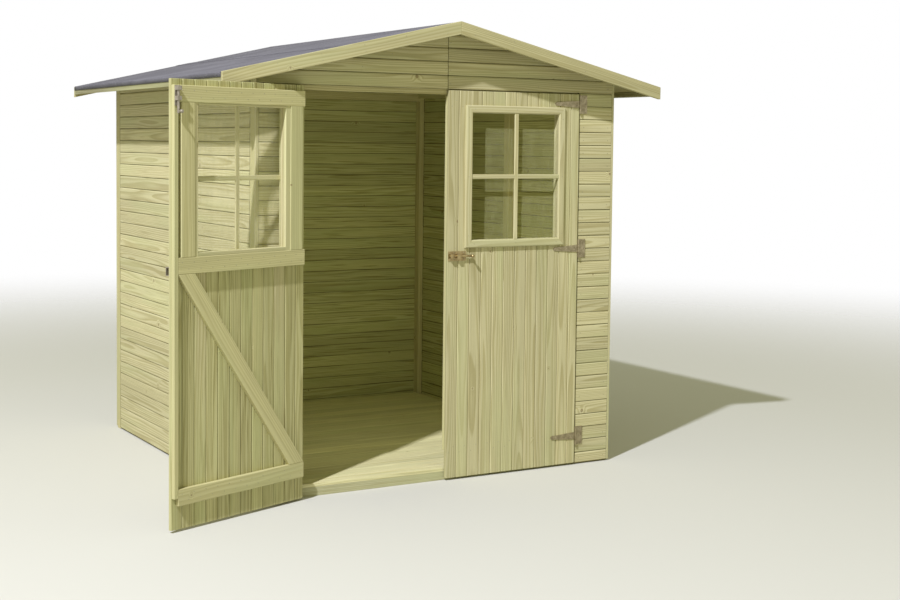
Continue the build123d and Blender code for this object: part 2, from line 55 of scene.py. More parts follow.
@dataclass(frozen=True)
class ShedSizes:
    """Driving sizes of the shed in metres, equal to those of the solids."""

    half_width: float = 0.900
    half_depth: float = 0.920
    pitch: float = math.radians(13.0)
    roof_half: float = 1.087
    barge_face: float = 1.030
    ridge_top: float = 2.014
    board: float = 0.016
    timber: float = 0.044
    iron: float = 0.003
    line_pitch: float = 0.0597
    cladding_bottom: float = 0.008
    cladding_half: float = 0.888
    doorway_half: float = 0.705
    doorway_top: float = 1.728
    leaf_bottom: float = 0.010
    leaf_top: float = 1.722
    leaf_inner: float = 0.004
    leaf_outer: float = 0.699
    leaf_proud: float = 0.005
    pin_proud: float = 0.004
    pin_x: float = 0.702
    open_angle: float = math.radians(160.0)
    felt: float = 0.003
    barge_thickness: float = 0.018
    hinge_heights: tuple[float, float, float] = (1.676, 1.012, 0.137)

    @property
    def slope(self) -> float:
        """Return the rise of the roof over its run."""
        return math.tan(self.pitch)

    @property
    def deck_apex(self) -> float:
        """Return the height where the upper faces of both decks meet."""
        return self.ridge_top - 0.002 - self.felt / math.cos(self.pitch)

    @property
    def under_apex(self) -> float:
        """Return the height where the undersides of both decks meet."""
        return self.deck_apex - self.board / math.cos(self.pitch)

    @property
    def inner_x(self) -> float:
        """Return the inner face of the side walls' studs."""
        return self.half_width - self.board - self.timber

    @property
    def inner_y(self) -> float:
        """Return the inner face of the end walls' studs."""
        return self.half_depth - self.board - self.timber

    @property
    def leaf_face(self) -> float:
        """Return the outer plane of a closed leaf."""
        return -self.half_depth - self.leaf_proud

    @property
    def leaf_back(self) -> float:
        """Return the inner plane of a closed leaf's boards."""
        return self.leaf_face + self.board

    @property
    def deck_end(self) -> float:
        """Return how far the deck reaches in front of the middle."""
        return self.barge_face - self.barge_thickness

    def under_roof(self, x: float) -> float:
        """Return the height of the deck's underside at x."""
        return self.under_apex - abs(x) * self.slope


# CLEARANCE is the gap between timbers that meet, PROUD how far a fixing stands off a face.
SIZES = ShedSizes()
CLEARANCE = 0.0002
PROUD = 0.0001


class Side(Enum):
    """Left or right half of the shed, as the sign of X."""

    LEFT = -1
    RIGHT = 1

    @property
    def word(self) -> str:
        """Return the side's name in piece names."""
        return self.name.lower()


def mirror_x(side: Side) -> Matrix:
    """Return the matrix that keeps the right side and mirrors to the left one."""
    return Matrix.Scale(side.value, 4, Vector((1.0, 0.0, 0.0)))


def leaf_place(side: Side) -> Matrix:
    """Return the matrix from the closed right leaf to a leaf's rest place.

    Args:
        side: Which leaf is placed.

    Returns:
        The identity for the right leaf, and mirror and swing for the left one.
    """
    if side is Side.RIGHT:
        return Matrix.Identity(4)
    pin = Vector((-SIZES.pin_x, SIZES.leaf_face - SIZES.pin_proud, 0.0))
    swing = Matrix.Rotation(-SIZES.open_angle, 4, "Z")
    return Matrix.Translation(pin) @ swing @ Matrix.Translation(-pin) @ mirror_x(side)


# Node helpers

class NodeBench:
    """Adds and joins nodes of one tree in few words."""

    def __init__(self, tree: bpy.types.NodeTree) -> None:
        """Keep the tree and start it empty."""
        self.tree = tree
        tree.nodes.clear()

    def add(self, kind: str, inputs: dict | None = None, **settings) -> bpy.types.Node:
        """Add a node.

        Args:
            kind: The node's type name.
            inputs: Values or sockets by input name or number.
            settings: Attributes set on the node before its inputs.

        Returns:
            The new node.
        """
        node = self.tree.nodes.new(kind)
        for name, value in settings.items():
            setattr(node, name, value)
        for key, value in (inputs or {}).items():
            self.feed(node, key, value)
        return node

    def feed(self, node: bpy.types.Node, key: str | int, value: object) -> None:
        """Link a socket into a node's input, or set the input's value.

        Args:
            node: The node.
            key: Name or number of its input.
            value: A socket or a value; a colour gets full alpha.
        """
        socket = node.inputs[key] if isinstance(key, int) else self.shown(node.inputs, key)
        if isinstance(value, bpy.types.NodeSocket):
            self.tree.links.new(value, socket)
        elif socket.type == "RGBA":
            socket.default_value = (*value, 1.0)
        else:
            socket.default_value = value

    def shown(self, sockets: Iterable[bpy.types.NodeSocket], name: str) -> bpy.types.NodeSocket:
        """Return the enabled socket of that name."""
        return next(s for s in sockets if s.name == name and s.enabled)

    def math(self, operation: str, *values: object) -> bpy.types.NodeSocket:
        """Add a Math node and return its result."""
        return self.add("ShaderNodeMath", dict(enumerate(values)), operation=operation).outputs[0]

    def product(self, *values: object) -> bpy.types.NodeSocket:
        """Multiply numbers.

        Args:
            values: Numbers or sockets.

        Returns:
            The last node's result.
        """
        result = values[0]
        for value in values[1:]:
            result = self.math("MULTIPLY", result, value)
        return result

    def line(self, value: object, slope: float, base: object) -> bpy.types.NodeSocket:
        """Return a value times a slope plus a base."""
        return self.math("MULTIPLY_ADD", value, slope, base)

    def vector(self, operation: str, *values: object) -> bpy.types.NodeSocket:
        """Add a Vector Math node and return its vector, or the number where it measures a length."""
        node = self.add("ShaderNodeVectorMath", dict(enumerate(values)), operation=operation)
        return node.outputs[1 if operation == "LENGTH" else 0]

    def scaled(self, vector: object, share: object) -> bpy.types.NodeSocket:
        """Scale a vector or colour by a number and return it."""
        return self.add("ShaderNodeVectorMath", {0: vector, 3: share}, operation="SCALE").outputs[0]

    def noise(self, place: object, scale: float | Mark, detail: float = 2.0, rough: float = 0.5,
              colour: bool = False) -> bpy.types.NodeSocket:
        """Add a Noise texture and return its factor or its colour.

        Args:
            place: The coordinates that it reads.
            scale: Its scale, or one for each axis.
            detail: Its detail.
            rough: Its roughness.
            colour: True for the colour.

        Returns:
            The texture's factor or colour.
        """
        if isinstance(scale, tuple):
            place, scale = self.vector("MULTIPLY", place, scale), 1.0
        inputs = {"Vector": place, "Scale": scale, "Detail": detail, "Roughness": rough}
        return self.add("ShaderNodeTexNoise", inputs).outputs[1 if colour else 0]

    def span(self, value: object, low: float, high: float, to_low: float = 0.0,
             to_high: float = 1.0) -> bpy.types.NodeSocket:
        """Map a range to another with soft ends and return the result."""
        limits = dict(enumerate((value, low, high, to_low, to_high)))
        return self.add("ShaderNodeMapRange", limits, interpolation_type="SMOOTHSTEP").outputs[0]

    def blend(self, share: object, first: object, second: object) -> bpy.types.NodeSocket:
        """Mix two colours by a share and return the colour."""
        return self.add("ShaderNodeMix", {0: share, 6: first, 7: second}, data_type="RGBA").outputs[2]

    def bump(self, height: object, strength: float, distance: float) -> bpy.types.NodeSocket:
        """Return the normal that a height gives."""
        inputs = {"Strength": strength, "Distance": distance, "Height": height}
        return self.add("ShaderNodeBump", inputs).outputs[0]

    def split(self, vector: object) -> bpy.types.NodeOutputs:
        """Return a vector's X, Y and Z."""
        return self.add("ShaderNodeSeparateXYZ", {"Vector": vector}).outputs

    def attribute(self, name: str, output: str = "Vector") -> bpy.types.NodeSocket:
        """Read one of the mesh's attributes in a material."""
        return self.add("ShaderNodeAttribute", attribute_name=name).outputs[output]

    def place(self) -> bpy.types.NodeSocket:
        """Return the Object coordinates."""
        return self.add("ShaderNodeTexCoord").outputs["Object"]


# Finishes

class Finish:
    """A named material that is made once and then shared."""

    _made: dict[str, bpy.types.Material] = {}
    name: str = "finish"

    def material(self) -> bpy.types.Material:
        """Make the finish's material at the first call.

        Returns:
            The material.
        """
        if self.name not in Finish._made:
            made = bpy.data.materials.new(self.name)
            made.use_nodes = True
            bench = NodeBench(made.node_tree)
            shader = bench.add("ShaderNodeBsdfPrincipled", self.dress(bench))
            bench.add("ShaderNodeOutputMaterial", {"Surface": shader.outputs[0]})
            Finish._made[self.name] = made
        return Finish._made[self.name]

    def dress(self, bench: NodeBench) -> dict[str, object]:
        """Return the shader's inputs; each finish has its own."""
        raise NotImplementedError


@dataclass(frozen=True)
class TimberFinish(Finish):
    """Pressure-treated pine: growth rings, fibres, dark streaks, small knots and a green tint.

    The pattern reads the timber's own coordinates, kept as the attribute "grain"
    (across, through and along the timber), so that ends show rings and faces show streaks.
    The attribute "wear" says how deep in a joint (x) and how far indoors (y) a point lies; the code darkens
    both as painted shade.
    """

    name: str = "treated_pine"
    early: Colour = (0.560, 0.520, 0.288)
    late: Colour = (0.425, 0.380, 0.180)
    green: Colour = (0.455, 0.468, 0.235)
    streak: Colour = (0.285, 0.245, 0.100)
    joint: Colour = (0.105, 0.090, 0.030)
    # Painted indoor shade: the inner faces' colour is multiplied by this, darker and greener.
    indoors: Colour = (0.86, 0.91, 0.74)
    knot: Colour = (0.16, 0.09, 0.035)
    ring: float = 0.0058
    ring_depth: float = 0.85
    streak_share: float = 0.50
    knot_share: float = 0.16
    tone_depth: float = 0.075
    joint_share: float = 0.62
    indoor_joint: float = 0.80
    indoor_streak: float = 1.1
    roughness: float = 0.66
    gloss: float = 0.16
    knot_cell: Mark = (0.085, 1.0, 0.36)

    def dress(self, bench: NodeBench) -> dict[str, object]:
        """Build the wood pattern.

        Args:
            bench: The material's nodes.

        Returns:
            The shader's inputs.
        """
        grain = bench.attribute("grain")
        wear = bench.split(bench.attribute("wear"))
        indoors = wear["Y"]
        knot, swell = self.knots(bench, grain)
        rings = self.rings(bench, grain, swell)
        fibre = bench.noise(grain, (420.0, 420.0, 9.0), 3.0, 0.6)
        band = bench.noise(grain, (62.0, 62.0, 1.3), 3.0, 0.55)
        thread = bench.noise(grain, (230.0, 120.0, 3.4), 2.0, 0.6)
        patch = bench.noise(grain, (8.0, 8.0, 1.2))
        drawn = bench.product(bench.span(thread, 0.53, 0.70), bench.span(band, 0.36, 0.62, 0.25, 1.0))
        streaks = bench.line(indoors, self.streak_share * self.indoor_streak, self.streak_share)
        wood = bench.blend(rings, self.early, self.late)
        wood = bench.blend(bench.span(patch, 0.45, 0.68, 0.0, 0.45), wood, self.green)
        wood = bench.blend(bench.product(drawn, streaks), wood, self.streak)
        tone = bench.line(bench.attribute("tone", "Fac"), self.tone_depth, 1.0)
        light = bench.product(bench.line(band, 0.36, 0.82), bench.line(patch, 0.30, 0.85),
                              bench.line(fibre, 0.20, 0.90), tone)
        wood = bench.blend(knot, bench.scaled(wood, light), self.knot)
        # Painted indoor shade on the inner faces.
        wood = bench.blend(indoors, wood, bench.vector("MULTIPLY", wood, self.indoors))
        height = bench.line(rings, -0.5, bench.line(drawn, -0.8, fibre))
        return {
            # Painted shade in the joints: the joint colour darkens the grooves.
            "Base Color": bench.blend(self.joints(bench, grain, wear), wood, self.joint),
            "Roughness": bench.line(fibre, 0.16, self.roughness - 0.08),
            "Specular IOR Level": self.gloss,
            "Normal": bench.bump(height, 0.35, 0.0006),
        }

    def joints(self, bench: NodeBench, grain: object, wear: bpy.types.NodeOutputs) -> bpy.types.NodeSocket:
        """Return how strongly a joint is darkened as painted shade, unevenly along the timber.

        Args:
            bench: The material's nodes.
            grain: The timber's own coordinates.
            wear: The split attribute "wear".

        Returns:
            The share of the joint's colour.
        """
        uneven = bench.span(bench.noise(grain, (14.0, 14.0, 2.6), 2.0, 0.6), 0.36, 0.64, 0.45, 1.20)
        depth = bench.line(wear["Y"], self.indoor_joint - self.joint_share, self.joint_share)
        return bench.product(depth, uneven, bench.span(wear["X"], 0.0, 1.0))

    def rings(self, bench: NodeBench, grain: object, swell: object) -> bpy.types.NodeSocket:
        """Return 0 on early wood and 1 on late wood.

        Args:
            bench: The material's nodes.
            grain: The timber's own coordinates.
            swell: How far the rings bulge round a knot, in metres.

        Returns:
            The share of late wood.
        """
        drift = bench.noise(grain, (7.0, 7.0, 0.8), colour=True)
        drift = bench.vector("MULTIPLY", bench.vector("SUBTRACT", drift, (0.5, 0.5, 0.5)),
                             (0.045, 0.045, 0.0))
        place = bench.vector("ADD", bench.vector("MULTIPLY", grain, (1.0, 1.0, 0.0)), drift)
        radius = bench.math("ADD", bench.vector("LENGTH", place), swell)
        turn = bench.math("FRACT", bench.math("DIVIDE", radius, self.ring))
        return bench.product(bench.span(turn, 0.25, 0.85), bench.span(turn, 0.90, 1.0, 1.0, 0.0),
                             self.ring_depth)

    def knots(self, bench: NodeBench, grain: object) -> tuple[bpy.types.NodeSocket, bpy.types.NodeSocket]:
        """Scatter knots along the timber.

        Args:
            bench: The material's nodes.
            grain: The timber's own coordinates.

        Returns:
            The share of knot colour, and the bulge that a knot gives the rings.
        """
        width, _, length = self.knot_cell
        flat = bench.vector("MULTIPLY", grain, (1.0, 0.0, 1.0))
        packed = bench.vector("DIVIDE", flat, self.knot_cell)
        spots = bench.add("ShaderNodeTexVoronoi", {"Vector": packed, "Scale": 1.0}).outputs
        centre = bench.vector("MULTIPLY", spots["Position"], (width, 0.0, length))
        away = bench.vector("LENGTH", bench.vector("SUBTRACT", flat, centre))
        wobble = bench.line(bench.noise(grain, (90.0, 90.0, 60.0), 1.0), 0.5, 0.75)
        chance = bench.add("ShaderNodeSeparateColor", {"Color": spots["Color"]}).outputs
        there = bench.math("LESS_THAN", chance[1], self.knot_share)
        near = bench.math("DIVIDE", bench.product(away, wobble), bench.line(chance[0], 0.0060, 0.0022))
        shown = bench.product(bench.span(near, 0.60, 1.25, 1.0, 0.0), bench.span(near, 0.0, 0.8, 0.45, 1.0),
                              bench.product(there, 0.7))
        bulge = bench.product(bench.span(near, 0.0, 4.5, 1.0, 0.0), bench.product(there, 0.009))
        return shown, bulge


@dataclass(frozen=True)
class FeltFinish(Finish):
    """Mineral roofing felt: crushed slate on bitumen, grey with a little violet."""

    name: str = "mineral_felt"
    dark: Colour = (0.085, 0.083, 0.094)
    pale: Colour = (0.190, 0.187, 0.205)

    def dress(self, bench: NodeBench) -> dict[str, object]:
        """Build the granules and the rain marks.

        Args:
            bench: The material's nodes.

        Returns:
            The shader's inputs.
        """
        place = bench.place()
        grit = bench.add("ShaderNodeTexVoronoi", {"Vector": place, "Scale": 620.0}).outputs
        tint = bench.add("ShaderNodeSeparateColor", {"Color": grit["Color"]}).outputs[0]
        cloud = bench.span(bench.noise(place, 3.5, 4.0, 0.6), 0.35, 0.7, 0.05, 0.45)
        share = bench.math("ADD", bench.product(tint, 0.55), cloud)
        return {
            "Base Color": bench.blend(share, self.dark, self.pale),
            "Roughness": 0.9,
            "Specular IOR Level": 0.25,
            "Normal": bench.bump(grit["Distance"], 0.5, 0.0008),
        }


@dataclass(frozen=True)
class GlassFinish(Finish):
    """Clear horticultural pane with a thin haze of dust, thicker where rain left it.

    The haze is left out in the zones (x from, x to, z from, z to), as a painted shadow that the deep frame
    and its bars cast on the pane.
    """

    name: str = "clear_pane"
    dust: Colour = (0.60, 0.60, 0.27)
    haze: Point2 = (0.07, 0.125)
    zones: tuple[Zone, ...] = ()
    blur: float = 0.0025

    def dress(self, bench: NodeBench) -> dict[str, object]:
        """Build the haze.

        Args:
            bench: The material's nodes.

        Returns:
            The shader's inputs.
        """
        place = bench.place()
        haze = bench.span(bench.noise(place, (60.0, 60.0, 14.0), 3.0, 0.6), 0.30, 0.72, *self.haze)
        axes = bench.split(place)
        # Each zone takes the haze out: a painted shadow on the pane.
        for left, right, low, high in self.zones:
            across = self.within(bench, axes["X"], left, right)
            upward = self.within(bench, axes["Z"], low, high)
            haze = bench.product(haze, bench.math("SUBTRACT", 1.0, bench.product(across, upward)))
        return {"Base Color": self.dust, "Alpha": haze, "Roughness": 0.03, "Specular IOR Level": 0.8}

    def within(self, bench: NodeBench, place: object, start: float, end: float) -> bpy.types.NodeSocket:
        """Return 1 between two limits and 0 outside, with blurred edges."""
        return bench.product(bench.span(place, start - self.blur, start + self.blur),
                             bench.span(place, end - self.blur, end + self.blur, 1.0, 0.0))


@dataclass(frozen=True)
class MetalFinish(Finish):
    """Plated steel with dull and bright spots."""

    name: str = "plated_steel"
    bright: Colour = (0.40, 0.335, 0.225)
    dull: Colour = (0.27, 0.220, 0.135)
    roughness: float = 0.42
    metallic: float = 0.80

    def dress(self, bench: NodeBench) -> dict[str, object]:
        """Build the blotches of the plating.

        Args:
            bench: The material's nodes.

        Returns:
            The shader's inputs.
        """
        place = bench.place()
        share = bench.span(bench.noise(place, 55.0, 4.0, 0.6), 0.34, 0.68)
        fine = bench.noise(place, 900.0, 2.0, 0.6)
        return {
            "Base Color": bench.blend(share, self.dull, self.bright),
            "Roughness": bench.line(share, -0.10, self.roughness + 0.08),
            "Metallic": self.metallic,
            "Normal": bench.bump(fine, 0.15, 0.0004),
        }


SIDING = TimberFinish(
    "siding_pine", early=(0.610, 0.568, 0.325), late=(0.440, 0.392, 0.188), tone_depth=0.095,
    joint_share=0.70, indoor_joint=1.0, indoor_streak=1.9)
DOOR_PINE = TimberFinish("door_pine", early=(0.575, 0.533, 0.300), joint_share=0.42, indoor_joint=1.0,
                         indoor_streak=2.4)
RAIL_PINE = TimberFinish("rail_pine", early=(0.585, 0.549, 0.285), late=(0.455, 0.416, 0.190),
                         streak_share=0.22, ring_depth=0.65)
TRIM_PINE = TimberFinish("trim_pine", early=(0.610, 0.572, 0.330), late=(0.475, 0.430, 0.215),
                         streak_share=0.22, knot_share=0.08)
FRAME_PINE = TimberFinish("frame_pine", early=(0.590, 0.540, 0.280), late=(0.455, 0.400, 0.180),
                          tone_depth=0.06)
FLOOR_PINE = TimberFinish("floor_pine", early=(0.710, 0.675, 0.385), late=(0.535, 0.490, 0.235),
                          tone_depth=0.11)
BEARER_PINE = TimberFinish("bearer_pine", early=(0.500, 0.490, 0.290), late=(0.390, 0.370, 0.190))
# Darker than the other timbers: painted shade under the roof.
ROOF_PINE = TimberFinish("roof_pine", early=(0.340, 0.310, 0.140), late=(0.250, 0.215, 0.085))
BARGE_PINE = TimberFinish("barge_pine", early=(0.540, 0.503, 0.270), late=(0.415, 0.370, 0.170),
                          streak_share=0.32)
# Darker than the other timbers: painted shade from the felt's drip on the fascia.
FASCIA_PINE = TimberFinish("fascia_pine", early=(0.300, 0.288, 0.166), late=(0.232, 0.213, 0.110))
FELT = FeltFinish()
PANE = GlassFinish()
HINGE_STEEL = MetalFinish("hinge_steel", bright=(0.38, 0.322, 0.190), dull=(0.255, 0.213, 0.115))
BOLT_BRASS = MetalFinish("bolt_brass", bright=(0.45, 0.355, 0.165), dull=(0.28, 0.205, 0.085), roughness=0.34)
BOLT_ZINC = MetalFinish("bolt_zinc", bright=(0.40, 0.355, 0.270), dull=(0.27, 0.240, 0.175), roughness=0.50,
                        metallic=0.6)
NAIL_STEEL = MetalFinish("nail_steel", bright=(0.40, 0.37, 0.28), dull=(0.26, 0.24, 0.17), roughness=0.5)
CLOUT_STEEL = MetalFinish("clout_steel", bright=(0.17, 0.165, 0.17), dull=(0.11, 0.108, 0.115),
                          roughness=0.6, metallic=0.4)


# Mesh makers

def squared(width: float, thickness: float, arris: float = 0.0016) -> list[Mark]:
    """Return the section of a sawn timber with its arrises taken off.

    Args:
        width: Size across.
        thickness: Size through.
        arris: Size of the bevel along each long edge.

    Returns:
        Points round the section, which starts at (0, 0), each with its depth in a joint.
    """
    low = arris * 0.35
    points = [
        (arris, 0.0), (width - arris, 0.0), (width - low, low), (width, arris),
        (width, thickness - arris), (width - low, thickness - low), (width - arris, thickness),
        (arris, thickness), (low, thickness - low), (0.0, thickness - arris), (0.0, arris), (low, low),
    ]
    return [(u, v, 0.0) for u, v in points]


def siding_section(height: float, thickness: float) -> list[Mark]:
    """Return the section of a shiplap board: (up, in) with a bevelled shadow step at its top.

    Args:
        height: The board's height.
        thickness: Its thickness.

    Returns:
        Points round the section, each with its depth in a joint, which sets its painted shade.
    """
    bevel = min(0.0075, height * 0.3)
    lap = height + 0.0005
    return [
        (0.0, thickness - 0.0016, 1.0), (0.0014, thickness - 0.0002, 0.55), (0.0032, thickness, 0.0),
        (height - 0.0034, thickness, 0.0), (height - 0.0016, thickness - 0.0002, 0.55),
        (height - 0.0003, thickness - 0.0016, 1.0), (lap, thickness - 0.0022, 1.0),
        (lap, 0.0062, 1.0), (height - 0.0003, 0.0050, 1.0), (height - 0.0012, 0.0044, 1.0),
        (height - bevel * 0.45, 0.0019, 0.30), (height - bevel, 0.0002, 0.05),
        (height - bevel - 0.0015, 0.0, 0.0), (0.0022, 0.0, 0.0), (0.0006, 0.0004, 0.25), (0.0, 0.0016, 1.0),
    ]


def tongue_section(width: float, thickness: float, vee: float) -> list[Mark]:
    """Return the section of a matchboard with a small vee along both faces' joints.

    Args:
        width: The board's width.
        thickness: Its thickness.
        vee: Size of the vee.

    Returns:
        Points round the section, each with its depth in a joint, which sets its painted shade.
    """
    side = [(vee, 0.0, 0.0), (vee * 0.36, vee * 0.62, 0.12), (0.0001, vee, 1.0)]
    right = [(width - u, v, depth) for u, v, depth in side]
    back = [(u, thickness - v, depth) for u, v, depth in right[::-1]]
    last = [(u, thickness - v, depth) for u, v, depth in side]
    return right + back + last + side[::-1]


def linked(name: str, data: bpy.types.ID) -> bpy.types.Object:
    """Make an object of some data in the scene.

    Args:
        name: The object's name.
        data: Its mesh, lamp or camera.

    Returns:
        The object.
    """
    made = bpy.data.objects.new(name, data)
    bpy.context.scene.collection.objects.link(made)
    return made


def paint(piece: bpy.types.Object, finish: Finish) -> None:
    """Give a whole piece one finish."""
    piece.data.materials.clear()
    piece.data.materials.append(finish.material())


def mesh_object(name: str, mesh: bmesh.types.BMesh, finish: Finish | None = None) -> bpy.types.Object:
    """Turn a mesh into an object with its faces outwards.

    Args:
        name: The object's name.
        mesh: The mesh, which goes.
        finish: Its finish, where it has one.

    Returns:
        The object.
    """
    bmesh.ops.recalc_face_normals(mesh, faces=mesh.faces)
    data = bpy.data.meshes.new(name)
    mesh.to_mesh(data)
    mesh.free()
    made = linked(name, data)
    if finish:
        paint(made, finish)
    return made


def evaluated(thing: bpy.types.Object) -> bpy.types.Mesh:
    """Make a plain mesh of an object with its modifiers done.

    Args:
        thing: The object, which stays as it is.

    Returns:
        The mesh.
    """
    bpy.context.view_layer.update()
    graph = bpy.context.evaluated_depsgraph_get()
    return bpy.data.meshes.new_from_object(thing.evaluated_get(graph), depsgraph=graph)


def bridge(mesh: bmesh.types.BMesh, rings: Sequence[list[bmesh.types.BMVert]]) -> None:
    """Join each closed ring of vertices to the next one with faces.

    Args:
        mesh: The mesh that has the vertices.
        rings: Rings of equal length.
    """
    for first, second in zip(rings, rings[1:]):
        for index in range(len(first)):
            after = (index + 1) % len(first)
            mesh.faces.new((first[index], first[after], second[after], second[index]))


class TimberMesh:
    """Collects timbers in one mesh and keeps each one's grain and tone.

    A timber is a section in (u, v) swept along w, and its frame turns u, v, w into the row frame.
    """

    def __init__(self, seed: int) -> None:
        """Start empty.

        Args:
            seed: Seed of the timbers' own grain.
        """
        self.mesh = bmesh.new()
        self.grain = self.mesh.verts.layers.float_vector.new("grain")
        self.wear = self.mesh.verts.layers.float_vector.new("wear")
        self.tone = self.mesh.verts.layers.float.new("tone")
        self.chance = random.Random(seed)

    def draw(self) -> tuple[Vector, float]:
        """Draw at random where the next timber was sawn out of its log, and its tone.

        Returns:
            The grain's shift, and the tone from -1 to 1.
        """
        pick = self.chance.uniform
        sawn = Vector((pick(-0.07, 0.03), pick(0.01, 0.09) * self.chance.choice((-1, 1)), pick(0.0, 60.0)))
        return sawn, pick(-1.0, 1.0)

    def add(self, section: Sequence[Mark], place: Matrix, start: Length, end: Length,
            arris: float = 0.0012, plain: bool = False, indoors: float = 0.0, ends: float = 0.0) -> None:
        """Add one timber.

        Args:
            section: Points round its section, each with its depth in a joint, which sets its painted shade.
            place: From (u, v, w) to the row frame.
            start: Where it starts along w.
            end: Where it ends along w.
            arris: Bevel round both ends, 0 for a sawn end against something.
            plain: Leave the grain unshifted, for a board that is repeated later.
            indoors: How far the inner face is darkened as painted indoor shade.
            ends: How far the painted shade of the end joints reaches in from both ends.
        """
        shift, tone = (Vector(), 0.0) if plain else self.draw()
        middle_u = sum(point[0] for point in section) / len(section)
        middle_v = sum(point[1] for point in section) / len(section)
        steps = [(0.0, start, 0.0, 0.0), (0.0, end, 0.0, 0.0)]
        # Extra rings near both ends carry the painted shade of the end joints.
        if ends:
            steps = [(0.0, start, 0.0, 1.0), (0.0, start, ends, 0.0), (0.0, end, -ends, 0.0),
                     (0.0, end, 0.0, 1.0)]
        elif arris:
            steps = [(arris, start, 0.0, 0.0), (0.0, start, arris, 0.0), (0.0, end, -arris, 0.0),
                     (arris, end, 0.0, 0.0)]
        rings = []
        for inset, limit, along, least in steps:
            ring = []
            for u, v, depth in section:
                inner_u = u - math.copysign(min(inset, abs(u - middle_u)), u - middle_u)
                inner_v = v - math.copysign(min(inset, abs(v - middle_v)), v - middle_v)
                reach = limit(u, v) if callable(limit) else limit
                local = Vector((inner_u, inner_v, reach + along))
                vertex = self.mesh.verts.new(place @ local)
                vertex[self.grain] = local + shift
                # Store the painted shade: x in a joint or at an end, y on the inner face indoors.
                vertex[self.wear] = (max(depth, least), indoors if v > middle_v else 0.0, 0.0)
                vertex[self.tone] = tone
                ring.append(vertex)
            rings.append(ring)
        bridge(self.mesh, rings)
        self.mesh.faces.new(rings[0])
        self.mesh.faces.new(rings[-1])

    def add_node(self, node: str, place: Matrix | None = None, arris: float = 0.0016) -> None:
        """Add every solid of a CAD node as a timber with its arrises taken off.

        Args:
            node: The CAD node whose shape is right.
            place: Frame in which its timbers lie square, where they don't in the row frame.
            arris: Bevel along the edges.
        """
        place = place or Matrix.Identity(4)
        copy = bmesh.new()
        copy.from_mesh(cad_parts[node].data)
        bmesh.ops.remove_doubles(copy, verts=copy.verts, dist=1e-5)
        bmesh.ops.dissolve_limit(copy, angle_limit=math.radians(2.0), verts=copy.verts, edges=copy.edges)
        bmesh.ops.transform(copy, matrix=place.inverted(), verts=copy.verts)
        if arris:
            sharp = [e for e in copy.edges if len(e.link_faces) == 2 and e.calc_face_angle() > 0.4]
            bmesh.ops.bevel(copy, geom=sharp, offset=arris, offset_type="OFFSET", segments=2,
                            profile=0.6, affect="EDGES", clamp_overlap=True)
        for island in islands(copy):
            self._adopt(island, place)
        copy.free()

    def _adopt(self, island: list[bmesh.types.BMVert], place: Matrix) -> None:
        """Copy one loose solid into the mesh with the grain along its longest side.

        Args:
            island: The solid's vertices.
            place: Frame that they are given in.
        """
        low = Vector([min(v.co[axis] for v in island) for axis in range(3)])
        high = Vector([max(v.co[axis] for v in island) for axis in range(3)])
        thin, wide, long_axis = sorted(range(3), key=lambda axis: high[axis] - low[axis])
        shift, tone = self.draw()
        made = {}
        for vertex in island:
            local = vertex.co - low
            copy = self.mesh.verts.new(place @ vertex.co)
            copy[self.grain] = Vector((local[wide], local[thin], local[long_axis])) + shift
            copy[self.tone] = tone
            made[vertex] = copy
        faces = {face for vertex in island for face in vertex.link_faces}
        for face in sorted(faces, key=lambda f: f.index):
            self.mesh.faces.new([made[vertex] for vertex in face.verts])

    def finished(self, name: str, finish: Finish | None = None) -> bpy.types.Object:
        """Return the timbers as one object, painted where a finish is given."""
        return mesh_object(name, self.mesh, finish)


def islands(mesh: bmesh.types.BMesh) -> list[list[bmesh.types.BMVert]]:
    """Return the vertices of each loose part.

    Args:
        mesh: The mesh, whose parts don't touch.

    Returns:
        One list of vertices for each part, in the mesh's order.
    """
    mesh.verts.index_update()
    mesh.faces.index_update()
    seen: set[int] = set()
    found = []
    for first in mesh.verts:
        if first.index in seen:
            continue
        seen.add(first.index)
        part, queue = [], [first]
        while queue:
            vertex = queue.pop()
            part.append(vertex)
            for edge in vertex.link_edges:
                other = edge.other_vert(vertex)
                if other.index not in seen:
                    seen.add(other.index)
                    queue.append(other)
        found.append(part)
    return found


def basis(origin: Sequence[float], across: Sequence[float], through: Sequence[float],
          along: Sequence[float]) -> Matrix:
    """Return the frame with these three directions as its u, v and w.

    Args:
        origin: The frame's origin.
        across: Direction of u.
        through: Direction of v.
        along: Direction of w.

    Returns:
        The frame.
    """
    matrix = Matrix((across, through, along)).transposed().to_4x4()
    matrix.translation = Vector(origin)
    return matrix


# Geometry Nodes

